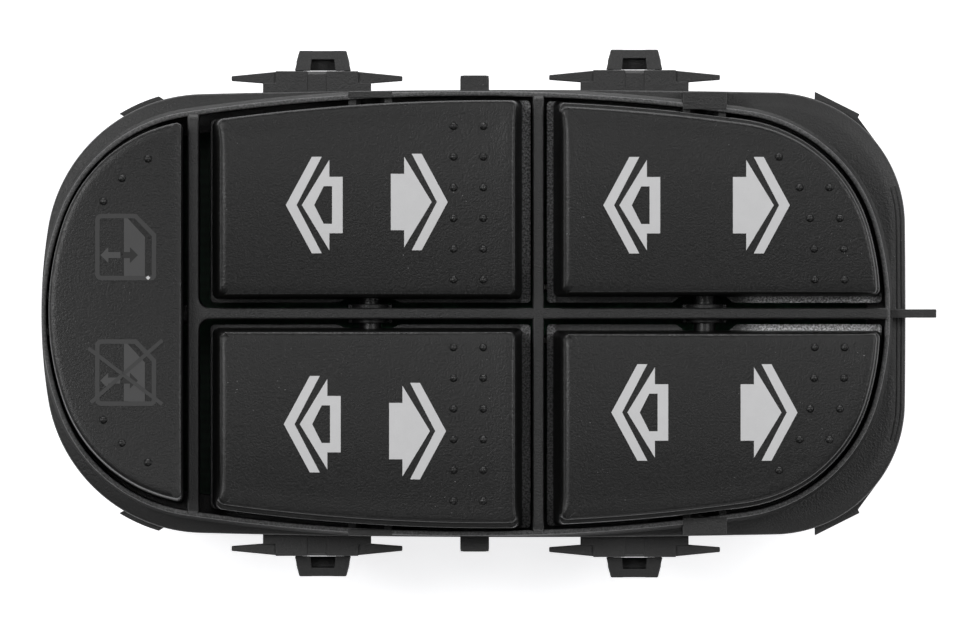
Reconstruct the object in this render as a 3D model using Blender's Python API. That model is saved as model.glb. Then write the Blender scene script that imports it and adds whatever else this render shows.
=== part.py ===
"""Power window switch pack for a driver's door.

Four sprung window rockers and one latching lock rocker sit in a moulded frame.
The frame snaps onto a tray that holds the circuit board, the contacts and the
connector socket. X runs along the pack, Y across it and Z up. The origin is on
the rim of the connector socket. Sizes are in millimetres and become metres
only where a mesh is made.
"""
import math

import bmesh
import bpy
import numpy as np
from mathutils import Matrix, Vector

MM = 0.001

# Clearances
SEAT_GAP = 0.3
PIN_GAP = 0.25
SWING_GAP = 0.36

# Opening of the frame seen from above: two long side arcs and two end arcs
OPENING_LEFT = -54.2
OPENING_RIGHT = 48.6
OPENING_HALF = 26.65
OPENING_CREST = -2.2
OPENING_SIDE_RADIUS = 240.0
OPENING_LEFT_RADIUS = 34.0
OPENING_RIGHT_RADIUS = 39.0
OPENING_CORNER = 19.0

# Flange of the frame, as margins past the opening
FLANGE_LEFT_MARGIN = 0.7
FLANGE_RIGHT_MARGIN = 2.6
FLANGE_SIDE_MARGIN = 0.8
FLANGE_CREST = 4.0
FLANGE_SIDE_RADIUS = 1550.0
FLANGE_LEFT_RADIUS = 68.0
FLANGE_RIGHT_RADIUS = 900.0
FLANGE_LEFT_CORNER = 19.5
FLANGE_RIGHT_CORNER = 17.2

# Heights, stacked from the rim of the connector socket upwards
SOCKET_DEPTH = 10.0
TRAY_FLOOR = 2.0
BOARD_LEDGE = 1.7
BOARD_THICK = 1.6
TRAY_HEIGHT = 16.2
FLANGE_THICK = 1.7
WALL_HEIGHT = 6.0
RIB_HEIGHT = 6.8
LEDGE_DROP = 1.0
FRAME_SKIRT_DEPTH = 4.5
PIVOT_HEIGHT = 2.8

TRAY_BOTTOM_Z = SOCKET_DEPTH
TRAY_FLOOR_Z = TRAY_BOTTOM_Z + TRAY_FLOOR
BOARD_LEDGE_Z = TRAY_FLOOR_Z + BOARD_LEDGE
BOARD_Z = BOARD_LEDGE_Z + SEAT_GAP
BOARD_TOP_Z = BOARD_Z + BOARD_THICK
TRAY_RIM_Z = TRAY_BOTTOM_Z + TRAY_HEIGHT
FLANGE_Z = TRAY_RIM_Z + SEAT_GAP
FLANGE_TOP_Z = FLANGE_Z + FLANGE_THICK
WALL_TOP_Z = FLANGE_TOP_Z + WALL_HEIGHT
RIB_TOP_Z = FLANGE_TOP_Z + RIB_HEIGHT
FRAME_LEDGE_Z = FLANGE_TOP_Z - LEDGE_DROP
FRAME_SKIRT_Z = FLANGE_Z - FRAME_SKIRT_DEPTH
PIVOT_Z = FLANGE_TOP_Z + PIVOT_HEIGHT

# Frame wall, inner skirt and ribs
WALL_THICK = 0.6
WALL_FOOT = 0.45
FRAME_SKIRT_THICK = 0.9
FRAME_SKIRT_INSET = 2.2
RIB_THICK = 1.4
LOCK_RIB_X = -36.05
CROSS_RIB_X = 6.1
RIB_ROUND = 0.35
RIB_END_ROUND = 1.1
RIB_FOOT_RADIUS = 1.2
RIB_LIFT = 0.5
STRIP_WIDTH = 1.1
STRIP_RISE = 0.25
TAB_REACH = 3.7
TAB_THICK = 1.04
TAB_HEIGHT = 3.8

# Rocker bearings in the frame
PIN_RADIUS = 1.35
LEFT_PIVOT_X = -14.5
RIGHT_PIVOT_X = 26.5
BEARING_HALF = 2.7
BEARING_RISE = 2.2
BEARING_DEPTH = 0.95
PIN_END_GAP = 0.45
BOSS_HALF_THICK = 1.15
THROAT = 0.85

# Tray, its clips, fins and hooks
TRAY_INSET = 0.3
TRAY_WALL = 1.3
LEDGE_WIDTH = 2.4
BOARD_GAP = 0.6
CLIP_X = (-21.07, 17.95)
CLIP_TONGUE_SHIFT = (0.7, 0.0)
CLIP_FOOT_HALF = 6.64
CLIP_FOOT_DEPTH = 1.0
CLIP_BODY_HALF = 5.1
CLIP_BODY_DEPTH = 2.46
CLIP_HEIGHT = 6.0
CLIP_DROP = 0.6
WING_SPAN = 10.5
WING_ROOT = 1.35
WING_TIP = 0.75
WING_HEIGHT = 2.2
GROOVE_WIDTH = 2.4
GROOVE_DEPTH = 0.4
TONGUE_REACH = 5.4
TONGUE_ROOT_HALF = 3.55
TONGUE_TIP_HALF = 2.9
TONGUE_THICK = 1.1
TONGUE_HEIGHT = 9.0
TONGUE_LEG = 0.8
TONGUE_WINDOW = 1.55
HOOK_X = -1.7
HOOK_HALF = 0.95
LATCH_HALF = 1.75
LATCH_REACH = 1.8
LATCH_THICK = 1.1
LATCH_DROP = 9.0
FIN_HEIGHT = 2.4

# Connector socket and terminals
SOCKET_HALF_X = 22.5
SOCKET_HALF_Y = 9.4
SOCKET_WALL = 1.6
SOCKET_CORNER = 2.0
TERMINAL_PITCH = 5.0
TERMINAL_COLUMNS = 6
TERMINAL_ROW_Y = 3.3
TERMINAL_WIDTH = 1.5
TERMINAL_THICK = 0.64
TERMINAL_TIP_Z = 4.6
TERMINAL_STAND = 0.6

# Window rockers
SKIRT_GAP = 0.35
LEFT_ROCKER_GAP = 1.25
MIDDLE_GAP = 0.6
LEFT_SIDE_GAP = 0.8
RIGHT_SIDE_GAP = 0.6
RIGHT_END_GAP = 0.5
SKIRT_DROP = 1.1
SKIRT_THICK = 1.1
CAP_RISE = 8.0
CAP_DISH = 0.5
CAP_CROWN = 0.45
CAP_WALL = 1.2
CAP_ROOF = 1.5
CAP_EDGE = 0.8
CAP_CORNER = 1.0
ROCKER_SWING = 6.0

# How far each side steps in at the skirt, then leans in up to the face:
# left, right, middle and outer side
LEFT_STEP = (0.43, 0.95, 0.5, 0.1)
LEFT_LEAN = (0.5, 0.8, 0.4, 0.1)
RIGHT_STEP = (0.75, 0.45, 0.55, 0.35)
RIGHT_LEAN = (1.1, 0.5, 0.6, 0.3)

# Lock rocker, which rests tilted on one of its two detents
LOCK_GAP = 0.9
LOCK_SIDE_GAP = 0.85
LOCK_END_GAP = 0.3
LOCK_LEAN = 0.25
LOCK_TILT = 2.5
LOCK_STEM_X = -46.0

# Raised dots on the rockers
DOT_RADIUS = 0.55
DOT_RISE = 0.3
DOT_ROWS = 6
DOT_COLUMN = 3.64
DOT_FIRST_ROW = 4.15
DOT_PITCH = (OPENING_HALF - DOT_FIRST_ROW) / DOT_ROWS
LEFT_DOT_INSET = 3.95
RIGHT_DOT_INSET = 4.85
RIGHT_DOT_DRIFT = 0.5
LOCK_DOT_INSET = 3.8
LOCK_DOT_CENTRE = -40.0
LOCK_DOT_TURNS = (95.1, 106.6, 118.0)

# Switching parts under each rocker
STEM_RADIUS = 2.9
STEM_BORE = 1.85
PLUNGER_RADIUS = 1.55
PLUNGER_TIP = 1.0
PLUNGER_PILOT = 0.75
PLUNGER_SHOW = 3.2
PLUNGER_LENGTH = 6.8
PILOT_LENGTH = 2.0
SPRING_WIRE = 0.22
SPRING_TURNS = 5
BORE_TOP = 3.6
SEESAW_HEIGHT = 4.4
SEESAW_HALF = 6.5
SEESAW_WIDTH = 3.0
SEESAW_THICK = 0.6
SEESAW_BEND = 4.0
SEESAW_STEP = 0.6
CONTACT_RADIUS = 1.1
CONTACT_DOME = 0.45
CONTACT_OPEN = 0.9
POST_THICK = 0.8
POST_HORN = 1.0
LAMP_OFFSET = 10.5
LAMP_SIZE = 2.8
LAMP_HEIGHT = 1.1
UNIT_Y = (OPENING_HALF + RIB_THICK / 2 + MIDDLE_GAP) / 2

SEESAW_Z = BOARD_TOP_Z + SEESAW_HEIGHT
SEESAW_TOP_Z = SEESAW_Z + SEESAW_THICK
PLUNGER_Z = SEESAW_TOP_Z + SEAT_GAP
STEM_Z = PLUNGER_Z + PLUNGER_SHOW
SEESAW_SWING = ROCKER_SWING * 0.88


class Oval:
    """A plan outline of side arcs and end arcs, joined by corner arcs that run on smoothly."""

    def __init__(self, left, right, half, crest, side_radius, end_radii, corners):
        self.crest = crest
        self.side = (crest, half - side_radius, side_radius)
        self.ends = ((left + end_radii[0], 0.0, end_radii[0]), (right - end_radii[1], 0.0, end_radii[1]))
        self.corners = corners

    def outside(self, x, y, side=0.0, end=0.0):
        """How far a point lies past the outline, with its arcs moved inwards by two insets."""
        left_part = self.quarter(x, np.abs(y), 0, side, end)
        right_part = self.quarter(x, np.abs(y), 1, side, end)
        return np.where(x < self.crest, left_part, right_part)

    def quarter(self, x, y, which, side, end):
        """The same for one end: past whichever of the side, corner and end arcs faces the point."""
        way = 2 * which - 1
        side_x, side_y, side_radius = self.side
        end_x, end_y, end_radius = self.ends[which]
        corner = self.corners[which] - (side + end) / 2
        corner_x, corner_y = tangent_centre((side_x, side_y, side_radius - side - corner),
                                            (end_x, end_y, end_radius - end - corner), way)
        past_side = np.hypot(x - side_x, y - side_y) - side_radius + side
        past_end = np.hypot(x - end_x, y - end_y) - end_radius + end
        away_x = x - corner_x
        away_y = y - corner_y
        after_side = way * ((corner_y - side_y) * away_x - (corner_x - side_x) * away_y) > 0
        before_end = way * ((corner_y - end_y) * away_x - (corner_x - end_x) * away_y) < 0
        past_corner = np.hypot(away_x, away_y) - corner
        return np.where(after_side, np.where(before_end, past_corner, past_end), past_side)

    def grown(self, amount):
        """The outline moved outwards by one amount, as a function of x and y."""
        return lambda x, y: self.outside(x, y, -amount, -amount)

    def half_at(self, x):
        """Half the width of the outline at one x."""
        return float(trace(self.grown(0.0), (x, 0.0), np.array([math.pi / 2]))[0, 1])

    def slope_at(self, x):
        """The angle of the long side at one x, in radians."""
        return math.asin((x - self.crest) / self.side[2])


def tangent_centre(first, second, way):
    """Where two circles of given centre and radius cross, on the side that way points to."""
    gap_x = second[0] - first[0]
    gap_y = second[1] - first[1]
    gap = math.hypot(gap_x, gap_y)
    along = (first[2] ** 2 - second[2] ** 2 + gap ** 2) / (2 * gap)
    off = way * math.sqrt(first[2] ** 2 - along ** 2)
    return (first[0] + (gap_x * along + gap_y * off) / gap,
            first[1] + (gap_y * along - gap_x * off) / gap)


def meet(distances, radius):
    """The shape inside all the given edges, with its corners rounded."""
    past = [np.maximum(distance + radius, 0.0) for distance in distances]
    return np.sqrt(sum(part * part for part in past)) - radius


def inner_of(first, second):
    """The outline that lies inside both outlines."""
    return lambda x, y: np.maximum(first(x, y), second(x, y))


OPENING = Oval(OPENING_LEFT, OPENING_RIGHT, OPENING_HALF, OPENING_CREST, OPENING_SIDE_RADIUS,
               (OPENING_LEFT_RADIUS, OPENING_RIGHT_RADIUS),
               (OPENING_CORNER, OPENING_CORNER))
FLANGE = Oval(OPENING_LEFT - FLANGE_LEFT_MARGIN, OPENING_RIGHT + FLANGE_RIGHT_MARGIN,
              OPENING_HALF + FLANGE_SIDE_MARGIN, FLANGE_CREST, FLANGE_SIDE_RADIUS,
              (FLANGE_LEFT_RADIUS, FLANGE_RIGHT_RADIUS),
              (FLANGE_LEFT_CORNER, FLANGE_RIGHT_CORNER))


def trace(outside, centre, turns):
    """Points where rays at the given angles leave an outline, found by halving."""
    near = np.zeros_like(turns)
    far = np.full_like(turns, 4.0 * OPENING_HALF)
    for _ in range(40):
        middle = (near + far) / 2
        x = centre[0] + middle * np.cos(turns)
        y = centre[1] + middle * np.sin(turns)
        beyond = outside(x, y) > 0
        far = np.where(beyond, middle, far)
        near = np.where(beyond, near, middle)
    return np.column_stack((centre[0] + near * np.cos(turns), centre[1] + near * np.sin(turns)))


def spread(outside, centre, count):
    """Ray angles that spread points along an outline, closer together round its corners."""
    turns = np.linspace(-0.75 * math.pi, 1.25 * math.pi, 1501)
    path = trace(outside, centre, turns)
    steps = np.diff(path, axis=0)
    lengths = np.hypot(steps[:, 0], steps[:, 1])
    headings = np.unwrap(np.arctan2(steps[:, 1], steps[:, 0]))
    bends = np.abs(np.diff(headings, append=headings[0] + 2 * math.pi))
    weights = lengths / lengths.sum() + bends / bends.sum()
    stations = np.concatenate(([0.0], np.cumsum(weights))) / weights.sum()
    return np.interp(np.arange(count) / count, stations, turns)


def ring(outside, centre, turns, z):
    """One closed ring of points on an outline. Its height is a number or a function of x and y."""
    flat = trace(outside, centre, turns)
    height = z(flat[:, 0], flat[:, 1]) if callable(z) else np.full(len(flat), z)
    return np.column_stack((flat, height))


def solid(name, points, faces):
    """A closed mesh object from points in millimetres, with its faces pointing out."""
    mesh = bpy.data.meshes.new(name)
    mesh.from_pydata((np.asarray(points) * MM).tolist(), [], faces)
    work = bmesh.new()
    work.from_mesh(mesh)
    bmesh.ops.recalc_face_normals(work, faces=work.faces)
    work.to_mesh(mesh)
    work.free()
    piece = bpy.data.objects.new(name, mesh)
    bpy.context.scene.collection.objects.link(piece)
    return piece


def loft(name, rings, closed=False):
    """A skin over a row of rings. Its ends meet each other, or each gets a cap of triangles."""
    count = len(rings[0])
    points = np.concatenate(rings)
    faces = []
    last = len(rings) if closed else len(rings) - 1
    for row in range(last):
        low = row * count
        high = (row + 1) % len(rings) * count
        for i in range(count):
            j = (i + 1) % count
            faces.append((low + i, low + j, high + j, high + i))
    if not closed:
        for start in (0, (len(rings) - 1) * count):
            hub = len(points)
            points = np.vstack((points, points[start:start + count].mean(axis=0)))
            faces.extend((start + i, start + (i + 1) % count, hub) for i in range(count))
    return solid(name, points, faces)


def prism(name, outline, low, high, axis="Z"):
    """A flat outline carried straight along one axis. Its two coordinates are the other axes."""
    flat = np.asarray(outline, float)
    ends = []
    for level in (low, high):
        place = np.full(len(flat), level)
        if axis == "X":
            ends.append(np.column_stack((place, flat)))
        elif axis == "Y":
            ends.append(np.column_stack((flat[:, 0], place, flat[:, 1])))
        else:
            ends.append(np.column_stack((flat, place)))
    count = len(flat)
    sides = [(i, (i + 1) % count, count + (i + 1) % count, count + i) for i in range(count)]
    faces = sides + [tuple(range(count)), tuple(range(count, 2 * count))]
    return solid(name, np.vstack(ends), faces)


def box(name, low, high):
    """A block between two corners."""
    outline = [(low[0], low[1]), (high[0], low[1]), (high[0], high[1]), (low[0], high[1])]
    return prism(name, outline, low[2], high[2])


def arc(centre, radius, start, end, count):
    """Points along an arc, with its angles in degrees."""
    turns = np.radians(np.linspace(start, end, count))
    return [(centre[0] + radius * math.cos(t), centre[1] + radius * math.sin(t)) for t in turns]


def round_box(half_x, half_y, radius, steps=4):
    """The outline of a rectangle with rounded corners."""
    x = half_x - radius
    y = half_y - radius
    corners = (((x, y), 0), ((-x, y), 90), ((-x, -y), 180), ((x, -y), 270))
    points = []
    for centre, start in corners:
        points += arc(centre, radius, start, start + 90, steps)
    return points


def lathe(name, profile, centre, segments=12):
    """A turned body: radius and height pairs that start and end on the axis, spun about Z."""
    turns = np.arange(segments) * 2 * math.pi / segments
    points = [(centre[0], centre[1], profile[0][1]), (centre[0], centre[1], profile[-1][1])]
    rows = []
    for radius, height in profile[1:-1]:
        rows.append(len(points))
        points += [(centre[0] + radius * math.cos(t), centre[1] + radius * math.sin(t), height)
                   for t in turns]
    faces = []
    for i in range(segments):
        j = (i + 1) % segments
        faces.append((0, rows[0] + i, rows[0] + j))
        faces.append((1, rows[-1] + i, rows[-1] + j))
        faces.extend((low + i, low + j, high + j, high + i) for low, high in zip(rows, rows[1:]))
    return solid(name, points, faces)


def rod(name, radius, low, high, place, axis, segments=16):
    """A round bar along X, Y or Z. Its place gives the other two coordinates of its middle."""
    return prism(name, arc(place, radius, 0, 360, segments + 1)[:-1], low, high, axis)


def combine(body, pieces, operation):
    """Joins pieces to a body, or cuts them out of it, and keeps only the result."""
    for piece in pieces:
        change = body.modifiers.new(operation.lower(), "BOOLEAN")
        change.operation = operation
        change.solver = "EXACT"
        change.object = piece
        view = bpy.context.evaluated_depsgraph_get()
        mesh = bpy.data.meshes.new_from_object(body.evaluated_get(view))
        body.modifiers.clear()
        body.data = mesh
        bpy.data.objects.remove(piece)
    body.data.name = body.name
    return body


def join(body, *pieces):
    return combine(body, pieces, "UNION")


def cut(body, *pieces):
    return combine(body, pieces, "DIFFERENCE")


def round_top(piece, level, width):
    """Rounds the edges of a piece that lie at its top level."""
    work = bmesh.new()
    work.from_mesh(piece.data)
    edges = [edge for edge in work.edges
             if all(abs(vert.co.z - level * MM) < 1e-6 for vert in edge.verts)]
    bmesh.ops.bevel(work, geom=edges, offset=width * MM, segments=2, profile=0.5,
                    affect="EDGES", clamp_overlap=True)
    work.to_mesh(piece.data)
    work.free()
    return piece


def turned(piece, centre, angle):
    """Turns a piece about an upright line through a point."""
    shift = Matrix.Translation(Vector((centre[0] * MM, centre[1] * MM, 0.0)))
    piece.data.transform(shift @ Matrix.Rotation(angle, 4, "Z") @ shift.inverted())
    return piece


def finish(piece, colour, roughness, metallic=0.0):
    """Gives a piece its own material and smooth shading between its real edges."""
    material = bpy.data.materials.new(piece.name)
    material.use_nodes = True
    shader = material.node_tree.nodes["Principled BSDF"]
    shader.inputs["Base Color"].default_value = (*colour, 1.0)
    shader.inputs["Roughness"].default_value = roughness
    shader.inputs["Metallic"].default_value = metallic
    piece.data.materials.clear()
    piece.data.materials.append(material)
    piece.data.shade_smooth()
    piece.data.set_sharp_from_angle(angle=math.radians(35))
    return piece


def hang(piece, pivot):
    """Hangs a piece from a pivot empty, with its mesh counted from that pivot."""
    piece.data.transform(Matrix.Translation(-pivot.location))
    piece.parent = pivot
    return piece


def recentre(piece, x, y, z):
    """Puts the origin of a piece at a point and leaves the piece where it is."""
    place = Vector((x * MM, y * MM, z * MM))
    piece.data.transform(Matrix.Translation(-place))
    piece.location = place
    return piece


# Bezel frame

def frame_shell():
    """The flange, the wall round the opening and the skirt inside the tray, as one lofted loop."""
    wall_limit = FLANGE.grown(-0.1)
    foot = inner_of(OPENING.grown(WALL_THICK + WALL_FOOT), wall_limit)
    wall = inner_of(OPENING.grown(WALL_THICK), FLANGE.grown(-0.15))
    crown = inner_of(OPENING.grown(0.6 * WALL_THICK), FLANGE.grown(-0.3))
    skirt_out = OPENING.grown(FRAME_SKIRT_THICK - FRAME_SKIRT_INSET)
    skirt_in = OPENING.grown(-FRAME_SKIRT_INSET)
    section = ((FLANGE.grown(0.0), FLANGE_Z),
               (FLANGE.grown(0.0), FLANGE_TOP_Z),
               (foot, FLANGE_TOP_Z),
               (wall, FLANGE_TOP_Z + WALL_FOOT),
               (wall, WALL_TOP_Z - 0.4 * WALL_THICK),
               (crown, WALL_TOP_Z),
               (OPENING.grown(0.2 * WALL_THICK), WALL_TOP_Z),
               (OPENING.grown(0.0), WALL_TOP_Z - 0.3 * WALL_THICK),
               (OPENING.grown(0.0), FRAME_LEDGE_Z),
               (skirt_in, FRAME_LEDGE_Z),
               (skirt_in, FRAME_SKIRT_Z),
               (skirt_out, FRAME_SKIRT_Z),
               (skirt_out, FLANGE_Z))
    turns = spread(OPENING.grown(0.0), (0.0, 0.0), 64)
    return loft("bezel_frame", [ring(outline, (0.0, 0.0), turns, z) for outline, z in section],
                closed=True)


def cross_rib(x):
    """A rib across the opening. Its foot ends in the frame's skirt and its top in the wall."""
    wide = OPENING.half_at(x) + 0.5 * WALL_THICK
    narrow = OPENING.half_at(x) - FRAME_SKIRT_INSET + 0.5 * FRAME_SKIRT_THICK
    low = FRAME_SKIRT_Z + RIB_LIFT
    step = FRAME_LEDGE_Z - 0.5 * LEDGE_DROP
    outline = [(-narrow, low), (narrow, low), (narrow, step), (wide, step)]
    corner = (wide - RIB_END_ROUND, RIB_TOP_Z - RIB_END_ROUND)
    outline += arc(corner, RIB_END_ROUND, 0, 90, 4)
    outline += arc((-corner[0], corner[1]), RIB_END_ROUND, 90, 180, 4)
    outline += [(-wide, step), (-narrow, step)]
    rib = prism("cross_rib", outline, x - RIB_THICK / 2, x + RIB_THICK / 2, "X")
    return round_top(rib, RIB_TOP_Z, RIB_ROUND)


def middle_rib():
    """The long rib between the upper and lower rockers."""
    end = OPENING_RIGHT + 0.6 * WALL_THICK
    inner_end = OPENING_RIGHT - FRAME_SKIRT_INSET + 0.5 * FRAME_SKIRT_THICK
    low = FRAME_SKIRT_Z + 2 * RIB_LIFT
    step = FRAME_LEDGE_Z - 0.5 * LEDGE_DROP
    outline = [(LOCK_RIB_X, low), (inner_end, low), (inner_end, step), (end, step),
               (end, RIB_TOP_Z), (LOCK_RIB_X, RIB_TOP_Z)]
    rib = prism("middle_rib", outline, -RIB_THICK / 2, RIB_THICK / 2, "Y")
    return round_top(rib, RIB_TOP_Z, RIB_ROUND)


def rib_corner(side):
    """The curved web in the corner between the lock rib and the middle rib."""
    x = LOCK_RIB_X + RIB_THICK / 2
    y = RIB_THICK / 2
    radius = RIB_FOOT_RADIUS
    outline = [(x - 0.2, y - 0.2), (x + radius, y - 0.2)]
    outline += arc((x + radius, y + radius), radius, 270, 180, 5)
    outline.append((x - 0.2, y + radius))
    outline = [(px, py * side) for px, py in outline]
    low = FRAME_SKIRT_Z + 3 * RIB_LIFT
    return prism("rib_corner", outline, low, RIB_TOP_Z - 1.5 * RIB_ROUND)


def bearing_outline(middle):
    """A bearing block with a snap-in slot that opens at its top, as across and up."""
    bore = PIN_RADIUS + PIN_GAP
    lip = PIN_RADIUS * THROAT
    lip_angle = math.degrees(math.acos(lip / bore))
    top = PIVOT_Z + BEARING_RISE
    low = FRAME_LEDGE_Z - 0.4
    outline = [(middle - BEARING_HALF, low), (middle + BEARING_HALF, low),
               (middle + BEARING_HALF, top), (middle + bore + 0.15, top)]
    outline += arc((middle, PIVOT_Z), bore, lip_angle, -180 - lip_angle, 14)
    outline += [(middle - bore - 0.15, top), (middle - BEARING_HALF, top)]
    return outline


def outer_bearing(x, side):
    """The open bearing on the long wall that takes a window rocker's outer pin."""
    wall_y = OPENING.half_at(x)
    ends = sorted((side * (wall_y - BEARING_DEPTH), side * (wall_y + 0.4 * WALL_THICK)))
    block = prism("outer_bearing", bearing_outline(x), ends[0], ends[1], "Y")
    return turned(block, (x, side * wall_y), -side * OPENING.slope_at(x))


def lock_bearing():
    """The open bearing on the left wall that takes the lock rocker's pin."""
    return prism("lock_bearing", bearing_outline(0.0), OPENING_LEFT - 0.4 * WALL_THICK,
                 OPENING_LEFT + BEARING_DEPTH, "X")


def boss(x):
    """The thicker part of the middle rib that holds the rockers' inner pins."""
    low = (x - BEARING_HALF, -BOSS_HALF_THICK, FRAME_SKIRT_Z + 3 * RIB_LIFT)
    high = (x + BEARING_HALF, BOSS_HALF_THICK, PIVOT_Z + BEARING_RISE)
    return box("boss", low, high)


def latch(side):
    """A snap leg on the long side with a window for the tray's hook."""
    wall_y = FLANGE.half_at(HOOK_X)
    reach = wall_y + LATCH_REACH
    leg = reach - LATCH_THICK
    top = FLANGE_Z + 0.65 * FLANGE_THICK
    low = FLANGE_Z - LATCH_DROP
    under = FLANGE_Z + 0.15 * FLANGE_THICK
    outline = [(wall_y - 0.5, under), (leg, under), (leg, low), (reach, low),
               (reach, top - 0.4), (reach - 0.4, top), (wall_y - 0.5, top)]
    outline = [(side * y, z) for y, z in outline]
    return prism("latch", outline, HOOK_X - LATCH_HALF, HOOK_X + LATCH_HALF, "X")


def hook_levels():
    """The lowest and highest level of a tray hook."""
    low = FLANGE_Z - LATCH_DROP + 1.6
    return low, low + 2.2


def latch_window(side):
    """The opening in a snap leg, one seat gap larger than the hook in it."""
    reach = FLANGE.half_at(HOOK_X) + LATCH_REACH
    ends = sorted((side * (reach - LATCH_THICK - 0.5), side * (reach + 0.5)))
    low, high = hook_levels()
    half = HOOK_HALF + SEAT_GAP
    return box("latch_window", (HOOK_X - half, ends[0], low - SEAT_GAP),
               (HOOK_X + half, ends[1], high + SEAT_GAP))


def edge_strip(name, inner, outer, turns, low, high, count):
    """A curved strip between two outlines over a range of angles seen from the origin."""
    angles = np.radians(np.linspace(turns[0], turns[1], count))
    inside = trace(inner, (0.0, 0.0), angles)
    outside = trace(outer, (0.0, 0.0), angles)
    return prism(name, np.vstack((inside, outside[::-1])), low, high)


def make_frame():
    frame = frame_shell()
    join(frame, cross_rib(LOCK_RIB_X), cross_rib(CROSS_RIB_X), middle_rib())
    join(frame, rib_corner(1), rib_corner(-1))
    for x in (LEFT_PIVOT_X, RIGHT_PIVOT_X):
        join(frame, boss(x), outer_bearing(x, 1), outer_bearing(x, -1))
        cut(frame, rod("bore", PIN_RADIUS + PIN_GAP, -2, 2, (x, PIVOT_Z), "Y"))
    join(frame, lock_bearing())
    rib_face = LOCK_RIB_X - RIB_THICK / 2
    cut(frame, rod("lock_bore", PIN_RADIUS + PIN_GAP, rib_face - 1, rib_face + 0.85 * RIB_THICK,
                   (0.0, PIVOT_Z), "X"))
    flange_right = OPENING_RIGHT + FLANGE_RIGHT_MARGIN
    join(frame, box("tab", (OPENING_RIGHT + 0.2, -TAB_THICK / 2, FLANGE_TOP_Z - 0.9),
                    (flange_right + TAB_REACH, TAB_THICK / 2, FLANGE_TOP_Z + TAB_HEIGHT)))
    join(frame, edge_strip("strip", FLANGE.grown(-0.1 - STRIP_WIDTH), FLANGE.grown(-0.1),
                           (-21, 21), FLANGE_TOP_Z - 0.3, FLANGE_TOP_Z + STRIP_RISE, 15))
    for side in (1, -1):
        join(frame, latch(side))
        cut(frame, latch_window(side))
    return finish(frame, (0.028, 0.028, 0.029), 0.55)


# Switch base

def tray_shell():
    """The tray, with a chamfered bottom edge and a ledge inside for the board."""
    section = ((FLANGE.grown(-TRAY_INSET - 1.0), TRAY_BOTTOM_Z),
               (FLANGE.grown(-TRAY_INSET), TRAY_BOTTOM_Z + 1.0),
               (FLANGE.grown(-TRAY_INSET), TRAY_RIM_Z),
               (FLANGE.grown(-TRAY_INSET - TRAY_WALL), TRAY_RIM_Z),
               (FLANGE.grown(-TRAY_INSET - TRAY_WALL), BOARD_LEDGE_Z),
               (FLANGE.grown(-TRAY_INSET - TRAY_WALL - LEDGE_WIDTH), BOARD_LEDGE_Z),
               (FLANGE.grown(-TRAY_INSET - TRAY_WALL - LEDGE_WIDTH), TRAY_FLOOR_Z))
    turns = spread(FLANGE.grown(0.0), (0.0, 0.0), 54)
    return loft("switch_base", [ring(outline, (0.0, 0.0), turns, z) for outline, z in section])


def clip(x, shift, side):
    """A spring clip: a block with two wings, and a barbed tongue that rises in front of it."""
    wall_y = FLANGE.half_at(x) - TRAY_INSET
    root = wall_y - 0.5 * TRAY_WALL
    top = TRAY_RIM_Z - CLIP_DROP
    low = top - CLIP_HEIGHT
    front = wall_y + CLIP_BODY_DEPTH
    body = box("clip", (x - CLIP_FOOT_HALF, root, low),
               (x + CLIP_FOOT_HALF, wall_y + CLIP_FOOT_DEPTH, top))
    block = box("block", (x - CLIP_BODY_HALF, root, low + 1.0), (x + CLIP_BODY_HALF, front, top))
    middle = front - WING_ROOT / 2 - 0.15
    wings = [(-WING_SPAN, -WING_TIP / 2), (-CLIP_BODY_HALF + 0.5, -WING_ROOT / 2),
             (CLIP_BODY_HALF - 0.5, -WING_ROOT / 2), (WING_SPAN, -WING_TIP / 2),
             (WING_SPAN, WING_TIP / 2), (CLIP_BODY_HALF - 0.5, WING_ROOT / 2),
             (-CLIP_BODY_HALF + 0.5, WING_ROOT / 2), (-WING_SPAN, WING_TIP / 2)]
    wings = [(x + px, middle + py) for px, py in wings]
    join(body, block, prism("wings", wings, top - WING_HEIGHT - 0.4, top - 0.4))
    groove = GROOVE_WIDTH / 2
    cut(body, box("groove", (x - groove, front - GROOVE_DEPTH, low - 1),
                  (x + groove, front + 1, top + 1)))
    join(body, tongue(x + shift, wall_y, low))
    if side < 0:
        mirror_y(body)
    return body


def tongue(x, wall_y, low):
    """The barbed tongue, a leaning plate on two legs with a blind window near its tip."""
    tip = wall_y + TONGUE_REACH
    foot = low - 0.62 * TONGUE_HEIGHT
    top = low + 0.3 * TONGUE_HEIGHT
    lean = TONGUE_THICK * 1.3
    outline = [(wall_y - 0.5, foot), (wall_y + 0.6, foot), (tip, top - 1.6), (tip, top - 0.3),
               (tip - 0.3, top), (tip - 1.2, top - 0.2), (tip - lean, top - 1.6),
               (wall_y + 0.3, foot + lean), (wall_y - 0.5, foot + lean)]
    plate = prism("tongue", outline, -1.0, 1.0, "X")
    front = wall_y + CLIP_BODY_DEPTH
    for vert in plate.data.vertices:
        share = min(max((vert.co.y / MM - front) / (tip - front), 0.0), 1.0)
        vert.co.x *= TONGUE_ROOT_HALF + (TONGUE_TIP_HALF - TONGUE_ROOT_HALF) * share
    plate.data.transform(Matrix.Translation((x * MM, 0, 0)))
    gap = TONGUE_ROOT_HALF - TONGUE_LEG
    cut(plate, box("legs", (x - gap, wall_y + 0.9, foot - 1), (x + gap, front + 0.2, top + 1)))
    window = TONGUE_WINDOW
    cut(plate, box("window", (x - window, front + 0.5, top - 1.1), (x + window, tip - 0.9, top + 1)))
    return plate


def mirror_y(piece):
    """Mirrors a piece across the pack's middle and keeps its faces pointing out."""
    piece.data.transform(Matrix.Scale(-1, 4, (0, 1, 0)))
    piece.data.flip_normals()
    return piece


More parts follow.
